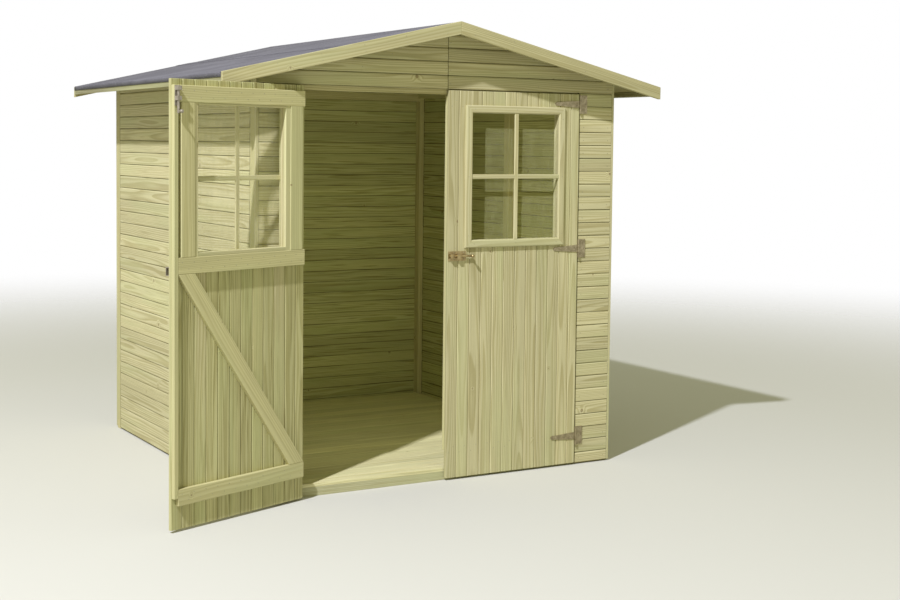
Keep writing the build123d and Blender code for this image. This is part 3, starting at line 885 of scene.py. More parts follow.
class NodeRecipe:
    """A Geometry Nodes tree with named inputs, run on an object and made a plain mesh."""

    def __init__(self, name: str, sockets: dict[str, tuple[str, object]]) -> None:
        """Make the tree and its inputs.

        Args:
            name: The tree's name.
            sockets: Socket type and usual value of each named input.
        """
        self.tree = bpy.data.node_groups.new(name, "GeometryNodeTree")
        self.bench = NodeBench(self.tree)
        face = self.tree.interface
        face.new_socket("Geometry", in_out="INPUT", socket_type="NodeSocketGeometry")
        for label, (kind, value) in sockets.items():
            socket = face.new_socket(label, in_out="INPUT", socket_type=kind)
            if value is not None:
                socket.default_value = value
        face.new_socket("Geometry", in_out="OUTPUT", socket_type="NodeSocketGeometry")
        self.given = self.bench.add("NodeGroupInput")
        self.result = self.bench.add("NodeGroupOutput")
        self.build()

    def build(self) -> None:
        """Join the tree's nodes; each recipe has its own."""
        raise NotImplementedError

    def close(self, geometry: bpy.types.NodeSocket) -> None:
        """End the tree in Set Material."""
        painted = self.bench.add("GeometryNodeSetMaterial", {
            "Geometry": geometry, "Material": self.given.outputs["Material"]})
        self.bench.feed(self.result, 0, painted.outputs[0])

    def run(self, carrier: bpy.types.Object, name: str, **values: object) -> bpy.types.Object:
        """Run the tree on an object, which goes, and keep what it makes.

        Args:
            carrier: The object that the tree starts from.
            name: Name of the finished piece.
            values: Values of the named inputs, with _ for a space.

        Returns:
            The finished object, with a plain mesh.
        """
        modifier = carrier.modifiers.new("recipe", "NODES")
        modifier.node_group = self.tree
        for item in self.tree.interface.items_tree:
            key = item.name.replace(" ", "_").lower()
            if item.item_type == "SOCKET" and item.in_out == "INPUT" and key in values:
                modifier[item.identifier] = values[key]
        data = evaluated(carrier)
        data.name = name
        carrier.modifiers.remove(modifier)
        bpy.data.objects.remove(carrier)
        return linked(name, data)

    def random(self, low: object, high: object, seed: int, kind: str = "FLOAT") -> bpy.types.NodeSocket:
        """Draw a random value per instance.

        Args:
            low: Lower limit.
            high: Upper limit.
            seed: Added to the input seed.
            kind: Type of the value.

        Returns:
            The value.
        """
        own = self.bench.math("ADD", self.given.outputs["Seed"], float(seed))
        inputs = {"Min": low, "Max": high, "Seed": own}
        node = self.bench.add("FunctionNodeRandomValue", inputs, data_type=kind)
        return self.bench.shown(node.outputs, "Value")

    def read(self, name: str, kind: str = "FLOAT_VECTOR") -> bpy.types.NodeSocket:
        """Read a stored attribute."""
        node = self.bench.add("GeometryNodeInputNamedAttribute", {"Name": name}, data_type=kind)
        return self.bench.shown(node.outputs, "Attribute")


class BoardRows(NodeRecipe):
    """Repeats one board in even steps, each with its own grain, tone and slight lie."""

    def __init__(self) -> None:
        """Name the inputs."""
        super().__init__("board_rows", {
            "Count": ("NodeSocketInt", 2), "Start": ("NodeSocketVector", None),
            "Step": ("NodeSocketVector", None), "Play": ("NodeSocketVector", None),
            "Tilt": ("NodeSocketVector", None), "Seed": ("NodeSocketInt", 1),
            "Material": ("NodeSocketMaterial", None)})

    def store(self, geometry: object, domain: str, name: str, value: object,
              kind: str = "FLOAT_VECTOR") -> bpy.types.NodeSocket:
        """Store an attribute.

        Args:
            geometry: The geometry.
            domain: The attribute's domain.
            name: Its name.
            value: Its value.
            kind: Its type.

        Returns:
            The geometry.
        """
        inputs = {"Geometry": geometry, "Name": name, "Value": value}
        node = self.bench.add("GeometryNodeStoreNamedAttribute", inputs, data_type=kind, domain=domain)
        return node.outputs[0]

    def build(self) -> None:
        """Join line, instances, random lie, realised mesh and material."""
        bench, given = self.bench, self.given.outputs
        line = bench.add("GeometryNodeMeshLine", {
            "Count": given["Count"], "Start Location": given["Start"], "Offset": given["Step"]},
            mode="OFFSET", count_mode="TOTAL")
        lie = self.random(bench.scaled(given["Play"], -1.0), given["Play"], 3, "FLOAT_VECTOR")
        moved = bench.add("GeometryNodeSetPosition", {"Geometry": line.outputs[0], "Offset": lie})
        turn = self.random(bench.scaled(given["Tilt"], -1.0), given["Tilt"], 7, "FLOAT_VECTOR")
        placed = bench.add("GeometryNodeInstanceOnPoints", {
            "Points": moved.outputs[0], "Instance": given["Geometry"], "Rotation": turn})
        sawn = self.random((-0.07, -0.09, 0.0), (0.03, 0.09, 60.0), 11, "FLOAT_VECTOR")
        geometry = self.store(placed.outputs[0], "INSTANCE", "sawn", sawn)
        geometry = self.store(geometry, "INSTANCE", "shade", self.random(-1.0, 1.0, 13), "FLOAT")
        geometry = bench.add("GeometryNodeRealizeInstances", {"Geometry": geometry}).outputs[0]
        grain = bench.vector("ADD", self.read("grain"), self.read("sawn"))
        geometry = self.store(geometry, "POINT", "grain", grain)
        geometry = self.store(geometry, "POINT", "tone", self.read("shade", "FLOAT"), "FLOAT")
        for name in ("sawn", "shade"):
            used = {"Geometry": geometry, "Name": name}
            geometry = bench.add("GeometryNodeRemoveAttribute", used).outputs[0]
        self.close(geometry)


class FixingHeads(NodeRecipe):
    """Puts a nail or screw head on every given point, facing the way the point says."""

    def __init__(self) -> None:
        """Name the inputs."""
        super().__init__("fixing_heads", {
            "Head": ("NodeSocketObject", None), "Seed": ("NodeSocketInt", 1),
            "Size Play": ("NodeSocketFloat", 0.06), "Material": ("NodeSocketMaterial", None)})

    def build(self) -> None:
        """Join points, heads, their turn about their own axis, and material."""
        bench, given = self.bench, self.given.outputs
        head = bench.add("GeometryNodeObjectInfo", {"Object": given["Head"]})
        aim = bench.add("FunctionNodeAlignRotationToVector", {"Vector": self.read("facing")}, axis="Z")
        spin = bench.add("ShaderNodeCombineXYZ", {"Z": self.random(0.0, 6.283, 0)})
        turned = bench.add("FunctionNodeRotateRotation", {
            "Rotation": aim.outputs[0], "Rotate By": spin.outputs[0]}, rotation_space="LOCAL")
        size = self.random(bench.math("SUBTRACT", 1.0, given["Size Play"]), 1.0, 0)
        placed = bench.add("GeometryNodeInstanceOnPoints", {
            "Points": given["Geometry"], "Instance": head.outputs["Geometry"],
            "Rotation": turned.outputs[0], "Scale": size})
        self.close(bench.add("GeometryNodeRealizeInstances", {"Geometry": placed.outputs[0]}).outputs[0])


class Head(Enum):
    """Kinds of fixing head: radius, height, whether it has a cross recess, and finish."""

    NAIL = (0.0016, 0.0005, False, NAIL_STEEL)
    CLOUT = (0.0050, 0.0009, False, CLOUT_STEEL)
    SCREW = (0.0034, 0.0010, True, HINGE_STEEL)


class Workshop:
    """Keeps the two node recipes and the heads that they repeat."""

    sunk: float = 0.0004
    recess: float = 0.0011
    wide: float = 0.56
    narrow: float = 0.17

    def __init__(self) -> None:
        """Build the trees and each kind of head."""
        self.boards = BoardRows()
        self.fixings = FixingHeads()
        self.heads = {kind: self.head(kind) for kind in Head}

    def head(self, kind: Head) -> bpy.types.Object:
        """Make a head round the origin that faces +Z.

        Args:
            kind: The kind of head.

        Returns:
            The head, which is removed when the scene is finished.
        """
        radius, height, cross, _ = kind.value
        count = 16 if cross else 10
        mesh = bmesh.new()
        levels = [(1.0, -self.sunk), (1.0, height * 0.35), (0.80, height)]
        if cross:
            levels += [(0.0, height), (0.0, height - self.recess)]
        rings = []
        for share, z in levels:
            ring = []
            for index in range(count):
                angle = (index + 0.5) * 2 * math.pi / count
                reach = radius * (share or (self.wide if index % 4 in (0, 3) else self.narrow))
                ring.append(mesh.verts.new((math.cos(angle) * reach, math.sin(angle) * reach, z)))
            rings.append(ring)
        bridge(mesh, rings)
        mesh.faces.new(rings[-1])
        mesh.faces.new(rings[0][::-1])
        return mesh_object(f"{kind.name.lower()}_head", mesh)

    def fix(self, name: str, spots: Sequence[Spot], kind: Head, body: str = "shell", seed: int = 5) -> None:
        """Set heads on spots and let them ride on a body.

        Args:
            name: Name of the piece.
            spots: Place and facing direction of each head.
            kind: The kind of head.
            body: The CAD body that they ride on.
            seed: Seed of the heads' turn and size.
        """
        data = bpy.data.meshes.new(name + "_points")
        data.from_pydata([tuple(place) for place, _ in spots], [], [])
        facing = data.attributes.new("facing", "FLOAT_VECTOR", "POINT")
        for item, (_, way) in zip(facing.data, spots):
            item.vector = way
        made = self.fixings.run(linked(name + "_points", data), name, head=self.heads[kind], seed=seed,
                                material=kind.value[3].material())
        hand_over(made, body, "hinge_steel")

    def repeat(self, section: Sequence[Mark], place: Matrix, length: float, count: int, step: Vector,
               finish: Finish, seed: int, play: Vector = Vector(), tilt: Vector = Vector(),
               **look: float) -> bpy.types.Object:
        """Lay even rows of one board.

        Args:
            section: The board's section.
            place: Frame of the first board.
            length: The boards' length.
            count: How many boards.
            step: From one board to the next.
            finish: Their finish.
            seed: Seed of their grain, tone and lie.
            play: How far they lie off at most.
            tilt: How far they turn at most.
            look: What TimberMesh.add takes for the painted shade at joints and on the inner face.

        Returns:
            The rows, painted.
        """
        one = TimberMesh(seed)
        one.add(section, place.to_3x3().to_4x4(), 0.0, length, 0.0, plain=True, **look)
        return self.boards.run(one.finished("board"), "rows", count=count, start=Vector(place.translation),
                               step=step, play=play, tilt=tilt, seed=seed, material=finish.material())

    def clear(self) -> None:
        """Remove the loose heads."""
        for head in self.heads.values():
            bpy.data.objects.remove(head)


def hand_over(piece: bpy.types.Object, body: str, slot: str, *nodes: str) -> None:
    """Let a finished piece ride on a body and stand for CAD nodes.

    Args:
        piece: The finished object.
        body: The CAD body's name.
        slot: The record's material slot; not used.
        nodes: CAD nodes that it replaces.
    """
    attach(piece, body)
    if nodes:
        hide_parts(*nodes)
    log.info("piece %s: %d faces on %s", piece.name, len(piece.data.polygons), body)


def join(name: str, parts: Iterable[bpy.types.Object]) -> bpy.types.Object:
    """Join plain objects into one, with their attributes and materials.

    Args:
        name: Name of the joined piece.
        parts: The objects, which go.

    Returns:
        The joined object.
    """
    parts = list(parts)
    first = parts[0]
    with bpy.context.temp_override(active_object=first, selected_editable_objects=parts):
        if len(parts) > 1:
            bpy.ops.object.join()
    first.name = name
    first.data.name = name
    return first


def from_nodes(name: str, nodes: Sequence[str], seed: int, finish: Finish, slot: str,
               arris: float = 0.0016) -> None:
    """Make one piece of the shell from the timbers of some CAD nodes.

    Args:
        name: The piece's name.
        nodes: The CAD nodes, which it replaces.
        seed: Seed of the timbers' grain.
        finish: Its finish.
        slot: The record's material slot.
        arris: Bevel along the edges.
    """
    timbers = TimberMesh(seed)
    for node in nodes:
        timbers.add_node(node, arris=arris)
    hand_over(timbers.finished(name, finish), "shell", slot, *nodes)


# Sub-assemblies

@dataclass
class Cladding:
    """Shiplap boards of all four walls, the gables and the corner strips."""

    workshop: Workshop
    nail_inset: float = 0.022
    nail_lean: float = 0.00035
    side_stud: float = -0.085
    corner_nail: float = 0.866
    middle_nail: float = 0.012
    doorway_nail: float = 0.727
    gable_nail: float = 0.86
    gable_edge: float = 0.03
    seam: float = 0.0016
    play: float = 0.0003
    tilt: float = 0.0035
    # Reach of the painted shade at the boards' ends, on end walls and on side walls.
    end_shade: float = 0.0035
    side_shade: float = 0.012
    seed: int = 21

    def levels(self) -> list[float]:
        """Return the heights of the board lines below the doorway's top, lowest first."""
        count = int((SIZES.doorway_top - SIZES.cladding_bottom) / SIZES.line_pitch)
        return [SIZES.doorway_top - step * SIZES.line_pitch for step in range(count, -1, -1)]

    def stack(self, name: str, place: Matrix, length: float, top: float | None, seed: int,
              shade: float) -> bpy.types.Object:
        """Build the full-length boards of one wall.

        Args:
            name: Name of the object.
            place: From (up, in, along) at the wall's foot to the row frame.
            length: Length of the boards.
            top: Height of the wall above the last full line, or None to stop there.
            seed: Seed of the boards' grain.
            shade: How far the painted shade of the joints at the boards' ends reaches in.

        Returns:
            The stacked boards, painted.
        """
        levels = self.levels()
        turn = place.to_3x3()
        first = place @ Matrix.Translation((levels[0], 0, 0))
        rows = self.workshop.repeat(
            siding_section(SIZES.line_pitch, SIZES.board), first, length, len(levels) - 1,
            Vector((0.0, 0.0, SIZES.line_pitch)), SIDING, seed, play=turn.col[1] * self.play,
            tilt=turn.col[2] * self.tilt, indoors=1.0, ends=shade)
        limits = [(SIZES.cladding_bottom, levels[0])]
        if top is not None:
            limits.append((SIZES.doorway_top, top))
        ends = TimberMesh(seed + 1)
        for low, high in limits:
            ends.add(siding_section(high - low, SIZES.board), place @ Matrix.Translation((low, 0, 0)),
                     0.0, length, 0.0, indoors=1.0, ends=shade)
        return join(name, [rows, ends.finished("wall_ends", SIDING)])

    def side_wall(self, side: Side) -> None:
        """Build one side wall.

        Args:
            side: Which wall.
        """
        sign = side.value
        place = basis((sign * SIZES.half_width, -SIZES.inner_y, 0.0), (0, 0, 1), (-sign, 0, 0), (0, 1, 0))
        wall = self.stack(f"{side.word}_wall_cladding", place, 2 * SIZES.inner_y,
                          SIZES.under_roof(SIZES.half_width), self.seed + 3 * sign, self.side_shade)
        hand_over(wall, "shell", "siding", f"{side.word}_wall_boards")

    def end_wall(self, side: Side, front: bool) -> None:
        """Build one half of the back wall, or one strip and half gable of the front wall.

        Args:
            side: Which half.
            front: True for the front wall.
        """
        sign = side.value
        face = -SIZES.half_depth if front else SIZES.half_depth
        near = SIZES.doorway_half if front else CLEARANCE * 2
        inward = (0, 1 if front else -1, 0)
        place = basis((sign * near, face, 0.0), (0, 0, 1), inward, (sign, 0, 0))
        seed = self.seed + 40 + 7 * sign + (20 if front else 0)
        name = f"{'front' if front else 'back'}_{side.word}"
        lower = self.stack(name + "_cladding", place, SIZES.cladding_half - near, None, seed, self.end_shade)
        gable = self.gable(side, face, inward, seed + 5)
        if front:
            hand_over(lower, "shell", "siding", f"front_{side.word}_boards")
            gable.name = gable.data.name = f"front_gable_{side.word}_cladding"
            hand_over(gable, "shell", "siding", f"front_gable_{side.word}_boards")
        else:
            hand_over(join(name + "_cladding", [lower, gable]), "shell", "siding", name + "_boards")

    def gable(self, side: Side, face: float, inward: Sequence[float], seed: int) -> bpy.types.Object:
        """Build half a gable, whose boards are cut to the roof's slope.

        Args:
            side: Which half.
            face: The wall's outer plane.
            inward: Direction into the wall.
            seed: Seed of the boards' grain.

        Returns:
            The boards, painted.
        """
        timbers = TimberMesh(seed)
        level = SIZES.doorway_top
        corner = SIZES.under_roof(SIZES.cladding_half)

        def reach(u: float, v: float) -> float:
            """Return the length, at a height above its foot, of the board at the present level."""
            run = (SIZES.under_apex - 2 * CLEARANCE - level - u) / SIZES.slope
            return max(0.001, min(SIZES.cladding_half, run))

        while level < SIZES.under_apex - 0.004:
            height = min(SIZES.line_pitch, SIZES.under_apex - 0.0005 - level)
            section = siding_section(height, SIZES.board)
            if level < corner < level + height:
                section = self.with_level(section, corner - level)
            place = basis((side.value * self.seam, face, level), (0, 0, 1), inward, (side.value, 0, 0))
            timbers.add(section, place, 0.0, reach, 0.0, indoors=1.0)
            level += SIZES.line_pitch
        return timbers.finished("gable", SIDING)

    @staticmethod
    def with_level(section: list[Mark], rise: float) -> list[Mark]:
        """Add a point on the inner and the outer face where the roof starts to cut a board.

        Args:
            section: The board's section.
            rise: Height of the points above its foot.

        Returns:
            The section with the points.
        """
        points = []
        for first, second in zip(section, section[1:] + section[:1]):
            points.append(first)
            low, high = sorted((first[0], second[0]))
            if low < rise < high:
                share = (rise - first[0]) / (second[0] - first[0])
                points.append((rise, first[1] + share * (second[1] - first[1]), 0.0))
        return points

    def nails(self) -> None:
        """Nail every board to the studs behind it."""
        spots: list[Spot] = []

        def end_nail(x: float, face: int, height: float) -> None:
            """Add a nail in an end wall, where the face is -1 at the front and 1 at the back."""
            place = Vector((x, face * (SIZES.half_depth + self.nail_lean), height))
            spots.append((place, Vector((0, face, 0))))

        side_top = SIZES.under_roof(SIZES.half_width) - 0.01
        for low in [SIZES.cladding_bottom] + self.levels():
            height = low + self.nail_inset
            for sign in (-1, 1):
                if height < side_top:
                    for y in (self.nail_inset - SIZES.inner_y, self.side_stud):
                        place = Vector((sign * (SIZES.half_width + self.nail_lean), y, height))
                        spots.append((place, Vector((sign, 0, 0))))
                end_nail(sign * self.corner_nail, 1, height)
                end_nail(sign * self.middle_nail, 1, height)
                end_nail(sign * self.corner_nail, -1, height)
                if low <= SIZES.doorway_top - 0.001:
                    end_nail(sign * self.doorway_nail, -1, height)
        level = SIZES.doorway_top
        while level < SIZES.under_apex - self.gable_edge:
            run = (SIZES.under_apex - level - self.nail_inset) / SIZES.slope
            reach = min(self.gable_nail, run - self.gable_edge)
            for sign in (-1, 1):
                for x in (self.middle_nail, reach * 0.55, reach):
                    for face in (-1, 1):
                        end_nail(sign * x, face, level + self.nail_inset)
            level += SIZES.line_pitch
        self.workshop.fix("cladding_nails", spots, Head.NAIL)

    def build(self) -> None:
        """Build all walls."""
        for side in Side:
            self.side_wall(side)
            self.end_wall(side, front=True)
            self.end_wall(side, front=False)
        from_nodes("corner_cover_strips", ["corner_strips"], self.seed + 90, TRIM_PINE, "trim_timber", 0.0012)
        self.nails()


@dataclass
class WallFrame:
    """Studs, rails, rafters, purlins and the doorway's stop, from the solids' own shapes."""

    groups: tuple[tuple[str, int, tuple[str, ...]], ...] = (
        ("wall_studs", 300, ("side_wall_studs", "end_wall_studs")),
        ("wall_rails", 301, ("side_wall_rails", "end_wall_rails")),
        ("doorway_head_stop", 302, ("door_head_stop",)),
        ("purlins", 303, ("roof_purlins",)),
        ("rafters", 320, ("gable_rafters",)),
    )

    def build(self) -> None:
        """Build every group as one piece, with its own seed."""
        for name, seed, nodes in self.groups:
            from_nodes(name, nodes, seed, FRAME_PINE, "framing")


@dataclass
class Floor:
    """Floor boards on bearers and joists."""

    workshop: Workshop
    pitch: float = 0.089
    thickness: float = 0.016
    top: float = 0.054
    vee: float = 0.0012
    play: float = 0.0002
    bearer_step: float = 0.395
    seed: int = 400

    def place(self, left: float, near: float) -> Matrix:
        """Return the frame of a board: u to the back, v up, w to the right."""
        return basis((left, near, self.top - self.thickness), (0, 1, 0), (0, 0, 1), (1, 0, 0))

    def build(self) -> None:
        """Build the boards and what carries them."""
        start = -SIZES.half_depth + SIZES.board
        sill, end = -SIZES.inner_y, SIZES.inner_y
        width = 2 * SIZES.inner_x
        count = int((end - start - self.pitch) / self.pitch)
        last = start + self.pitch * (count + 1)
        timbers = TimberMesh(self.seed)
        first = tongue_section(sill - start - CLEARANCE, self.thickness, self.vee)
        # The first board's front edge gets no painted joint shade.
        first = [(u, v, depth if u > self.vee else 0.0) for u, v, depth in first]
        timbers.add(first, self.place(-SIZES.doorway_half, start), 0.0, 2 * SIZES.doorway_half, 0.0)
        for near, far in ((sill, start + self.pitch - CLEARANCE), (last, end)):
            section = tongue_section(far - near, self.thickness, self.vee)
            timbers.add(section, self.place(-SIZES.inner_x, near), 0.0, width, 0.0)
        section = tongue_section(self.pitch, self.thickness, self.vee)
        rows = self.workshop.repeat(
            section, self.place(-SIZES.inner_x, start + self.pitch), width, count,
            Vector((0, self.pitch, 0)), FLOOR_PINE, self.seed, play=Vector((0, 0, self.play)))
        planks = join("floor_planks", [rows, timbers.finished("floor_ends", FLOOR_PINE)])
        hand_over(planks, "shell", "floor_timber", "floor_boards")
        from_nodes("floor_carriers", ("floor_bearers", "floor_joists"), self.seed + 2, BEARER_PINE,
                   "floor_timber")
        self.nails(start, count)

    def nails(self, start: float, count: int) -> None:
        """Nail the boards to the bearers.

        Args:
            start: Where the boards start along Y.
            count: How many even boards.
        """
        spots = []
        for step in range(count + 1):
            for bearer in range(-2, 3):
                for share in (0.25, 0.75):
                    y = start + self.pitch * (step + share)
                    if y > -SIZES.inner_y + 0.01:
                        spots.append((Vector((bearer * self.bearer_step, y, self.top + PROUD)),
                                      Vector((0, 0, 1))))
        self.workshop.fix("floor_nails", spots, Head.NAIL, seed=9)


@dataclass
class Roof:
    """Roof boards, felt, fascias and bargeboards."""

    workshop: Workshop
    deck_pitch: float = 0.0965
    deck_vee: float = 0.0018
    eaves_gap: float = 0.016
    overlap: Point2 = (0.485, 0.56)
    rise_from: float = 0.45
    rise_length: float = 0.035
    lap: float = 0.0016
    bend: float = 0.004
    drip: float = 0.015
    lift: float = 0.00035
    down_steps: int = 24
    back_steps: int = 34
    top_zone: float = 0.004
    top_cut: float = 0.0036
    clout_step: float = 0.108
    clout_line: float = 0.545
    barge_arris: float = 0.0022
    barge_nail_step: float = 0.2
    barge_nail_start: float = 0.12
    barge_nail_depths: Point2 = (-0.014, -0.041)
    seed: int = 500

    def slope_place(self, side: Side, apex: float, y: float) -> Matrix:
        """Return the frame of a slope: u down the slope, v up from it, w to the back.

        Args:
            side: Which slope.
            apex: The origin's height.
            y: The origin's Y.

        Returns:
            The frame.
        """
        sign = side.value
        cosine, sine = math.cos(SIZES.pitch), math.sin(SIZES.pitch)
        return basis((0.0, y, apex), (sign * cosine, 0, -sine), (sign * sine, 0, cosine), (0, 1, 0))

    def deck(self, side: Side) -> None:
        """Build one slope of roof boards.

        Args:
            side: Which slope.
        """
        reach = (SIZES.roof_half - self.eaves_gap) / math.cos(SIZES.pitch)
        top = SIZES.board * math.tan(SIZES.pitch)
        place = self.slope_place(side, SIZES.under_apex, -SIZES.deck_end)
        length = 2 * SIZES.deck_end
        count = int(reach / self.deck_pitch) - 1
        section = tongue_section(self.deck_pitch, SIZES.board, self.deck_vee)
        ridge = [(u + top * (v / SIZES.board) if u < self.deck_pitch / 2 else u, v, depth)
                 for u, v, depth in section]
        last = self.deck_pitch * (count + 1)
        foot = tongue_section(reach - last - CLEARANCE, SIZES.board, self.deck_vee)
        timbers = TimberMesh(self.seed + side.value)
        timbers.add(ridge, place, 0.0, length, 0.0)
        timbers.add(foot, place @ Matrix.Translation((last, 0, 0)), 0.0, length, 0.0)
        rows = self.workshop.repeat(
            section, place @ Matrix.Translation((self.deck_pitch, 0, 0)), length, count,
            place.to_3x3().col[0] * self.deck_pitch, ROOF_PINE, self.seed + 2 * side.value)
        planks = join(f"{side.word}_roof_planks", [rows, timbers.finished("deck_ends", ROOF_PINE)])
        hand_over(planks, "shell", "roof_boards", f"{side.word}_roof_deck")

    def felt(self, side: Side) -> None:
        """Build one slope of felt in two lapped strips, turned down at the eaves.

        Args:
            side: Which slope.
        """
        mesh = bmesh.new()
        chance = random.Random(self.seed + 30 + side.value)
        reach = (SIZES.roof_half + SIZES.felt) / math.cos(SIZES.pitch)
        place = self.slope_place(side, SIZES.deck_apex, -SIZES.deck_end)
        waves = [(chance.uniform(3, 9), chance.uniform(2, 7), chance.uniform(0, 6.3)) for _ in range(6)]

        def swell(u: float, w: float) -> float:
            """Return how far the felt lifts at a point of the slope."""
            total = sum(math.sin(a * u * 6 + b * w + c) for a, b, c in waves)
            return self.lift * (1.0 + total / len(waves))

        under, over = self.overlap
        upper = [(u, SIZES.felt + self.lap * self.smooth((u - self.rise_from) / self.rise_length))
                 for u in self.even(0.0, over)]
        turn = self.bend * 0.3
        lower = [(u, SIZES.felt) for u in self.even(under, reach)[:-1]]
        lower += [(reach - self.bend, SIZES.felt), (reach - turn, SIZES.felt - turn),
                  (reach, SIZES.felt - self.bend),
                  (reach + self.drip * math.sin(SIZES.pitch),
                   SIZES.felt - self.bend - self.drip * math.cos(SIZES.pitch))]
        self.sheet(mesh, upper, place, swell, self.lap)
        self.sheet(mesh, lower, place, swell, SIZES.felt)
        bmesh.ops.remove_doubles(mesh, verts=mesh.verts, dist=1e-6)
        made = mesh_object(f"{side.word}_felt_sheets", mesh, FELT)
        for polygon in made.data.polygons:
            polygon.use_smooth = abs(polygon.normal.y) < 0.5
        hand_over(made, "shell", "felt", f"{side.word}_roof_felt")

    def even(self, head: float, foot: float) -> list[float]:
        """Return even steps down the slope, with both ends."""
        return [head + (foot - head) * step / self.down_steps for step in range(self.down_steps + 1)]

    @staticmethod
    def smooth(share: float) -> float:
        """Return a soft step from 0 to 1."""
        share = min(1.0, max(0.0, share))
        return share * share * (3 - 2 * share)

    def sheet(self, mesh: bmesh.types.BMesh, profile: Sequence[Point2], place: Matrix,
              swell: Callable[[float, float], float], thickness: float) -> None:
        """Add one strip of felt as a closed sheet.

        Args:
            mesh: Mesh that takes it.
            profile: Points (down the slope, above the deck) of its upper face.
            place: Frame of the slope.
            swell: Lift at a point of the slope.
            thickness: Thickness of the strip.
        """
        grid = []
        for row in range(self.back_steps + 1):
            w = 2 * SIZES.deck_end * row / self.back_steps
            upper, lower = [], []
            for index, (u, v) in enumerate(profile):
                before = profile[max(0, index - 1)]
                after = profile[min(len(profile) - 1, index + 1)]
                along = Vector((after[0] - before[0], after[1] - before[1])).normalized()
                out = Vector((-along.y, along.x))
                lift = swell(u, w) if v > 0 else 0.0
                upper.append(mesh.verts.new(place @ Vector((u + out.x * lift, v + out.y * lift, w))))
                inner = Vector((u, v)) - out * thickness
                lower.append(mesh.verts.new(place @ Vector((inner.x, inner.y, w))))
            grid.append(upper + lower[::-1])
        bridge(mesh, grid)
        for ring in (grid[0], grid[-1]):
            for index in range(len(profile) - 1):
                mesh.faces.new((ring[index], ring[index + 1], ring[-2 - index], ring[-1 - index]))

    def edges(self) -> None:
        """Build the eaves fascias and the four bargeboards."""
        from_nodes("eaves_boards", ["eaves_fascias"], self.seed + 50, FASCIA_PINE, "trim_timber")
        for side in Side:
            place = self.slope_place(side, SIZES.ridge_top, 0.0)
            for word, extra in (("front", 0), ("back", 5)):
                node = f"{word}_{side.word}_bargeboard"
                board = TimberMesh(self.seed + 60 + side.value + extra)
                board.add_node(node, place, self.barge_arris)
                made = board.finished(f"{word}_{side.word}_barge", BARGE_PINE)
                if word == "back":
                    self.plane_top(made, place)
                hand_over(made, "shell", "trim_timber", node)

    def plane_top(self, board: bpy.types.Object, place: Matrix) -> None:
        """Take a back bargeboard's top down to just below the felt.

        Args:
            board: The bargeboard.
            place: The slope's frame.
        """
        back = place.inverted()
        for vertex in board.data.vertices:
            local = back @ vertex.co
            if local.y > -self.top_zone:
                local.y -= self.top_cut
                vertex.co = place @ local

    def fixings(self) -> None:
        """Set clout nails along the eaves and the lap, and nails in the bargeboards."""
        clouts: list[Spot] = []
        nails: list[Spot] = []
        edge = SIZES.roof_half + SIZES.felt
        height = SIZES.deck_apex - edge * SIZES.slope - self.bend
        for side in Side:
            slope = self.slope_place(side, SIZES.deck_apex, 0.0)
            normal = slope.to_3x3().col[1]
            for step in range(-9, 10):
                y = step * self.clout_step
                clouts.append((Vector((side.value * (edge + PROUD), y, height)), Vector((side.value, 0, 0))))
                lap = Vector((self.clout_line, SIZES.felt + self.lap + 0.0004, y + 0.03))
                clouts.append((slope @ lap, normal))
            for step in range(1, 6):
                for face in (-1, 1):
                    place = self.slope_place(side, SIZES.ridge_top, face * (SIZES.barge_face + PROUD))
                    for depth in self.barge_nail_depths:
                        spot = Vector((step * self.barge_nail_step - self.barge_nail_start, depth, 0))
                        nails.append((place @ spot, Vector((0, face, 0))))
        self.workshop.fix("felt_clouts", clouts, Head.CLOUT, seed=3)
        self.workshop.fix("bargeboard_nails", nails, Head.NAIL, seed=4)

    def build(self) -> None:
        """Build both slopes and their edges."""
        for side in Side:
            self.deck(side)
            self.felt(side)
        self.edges()
        self.fixings()


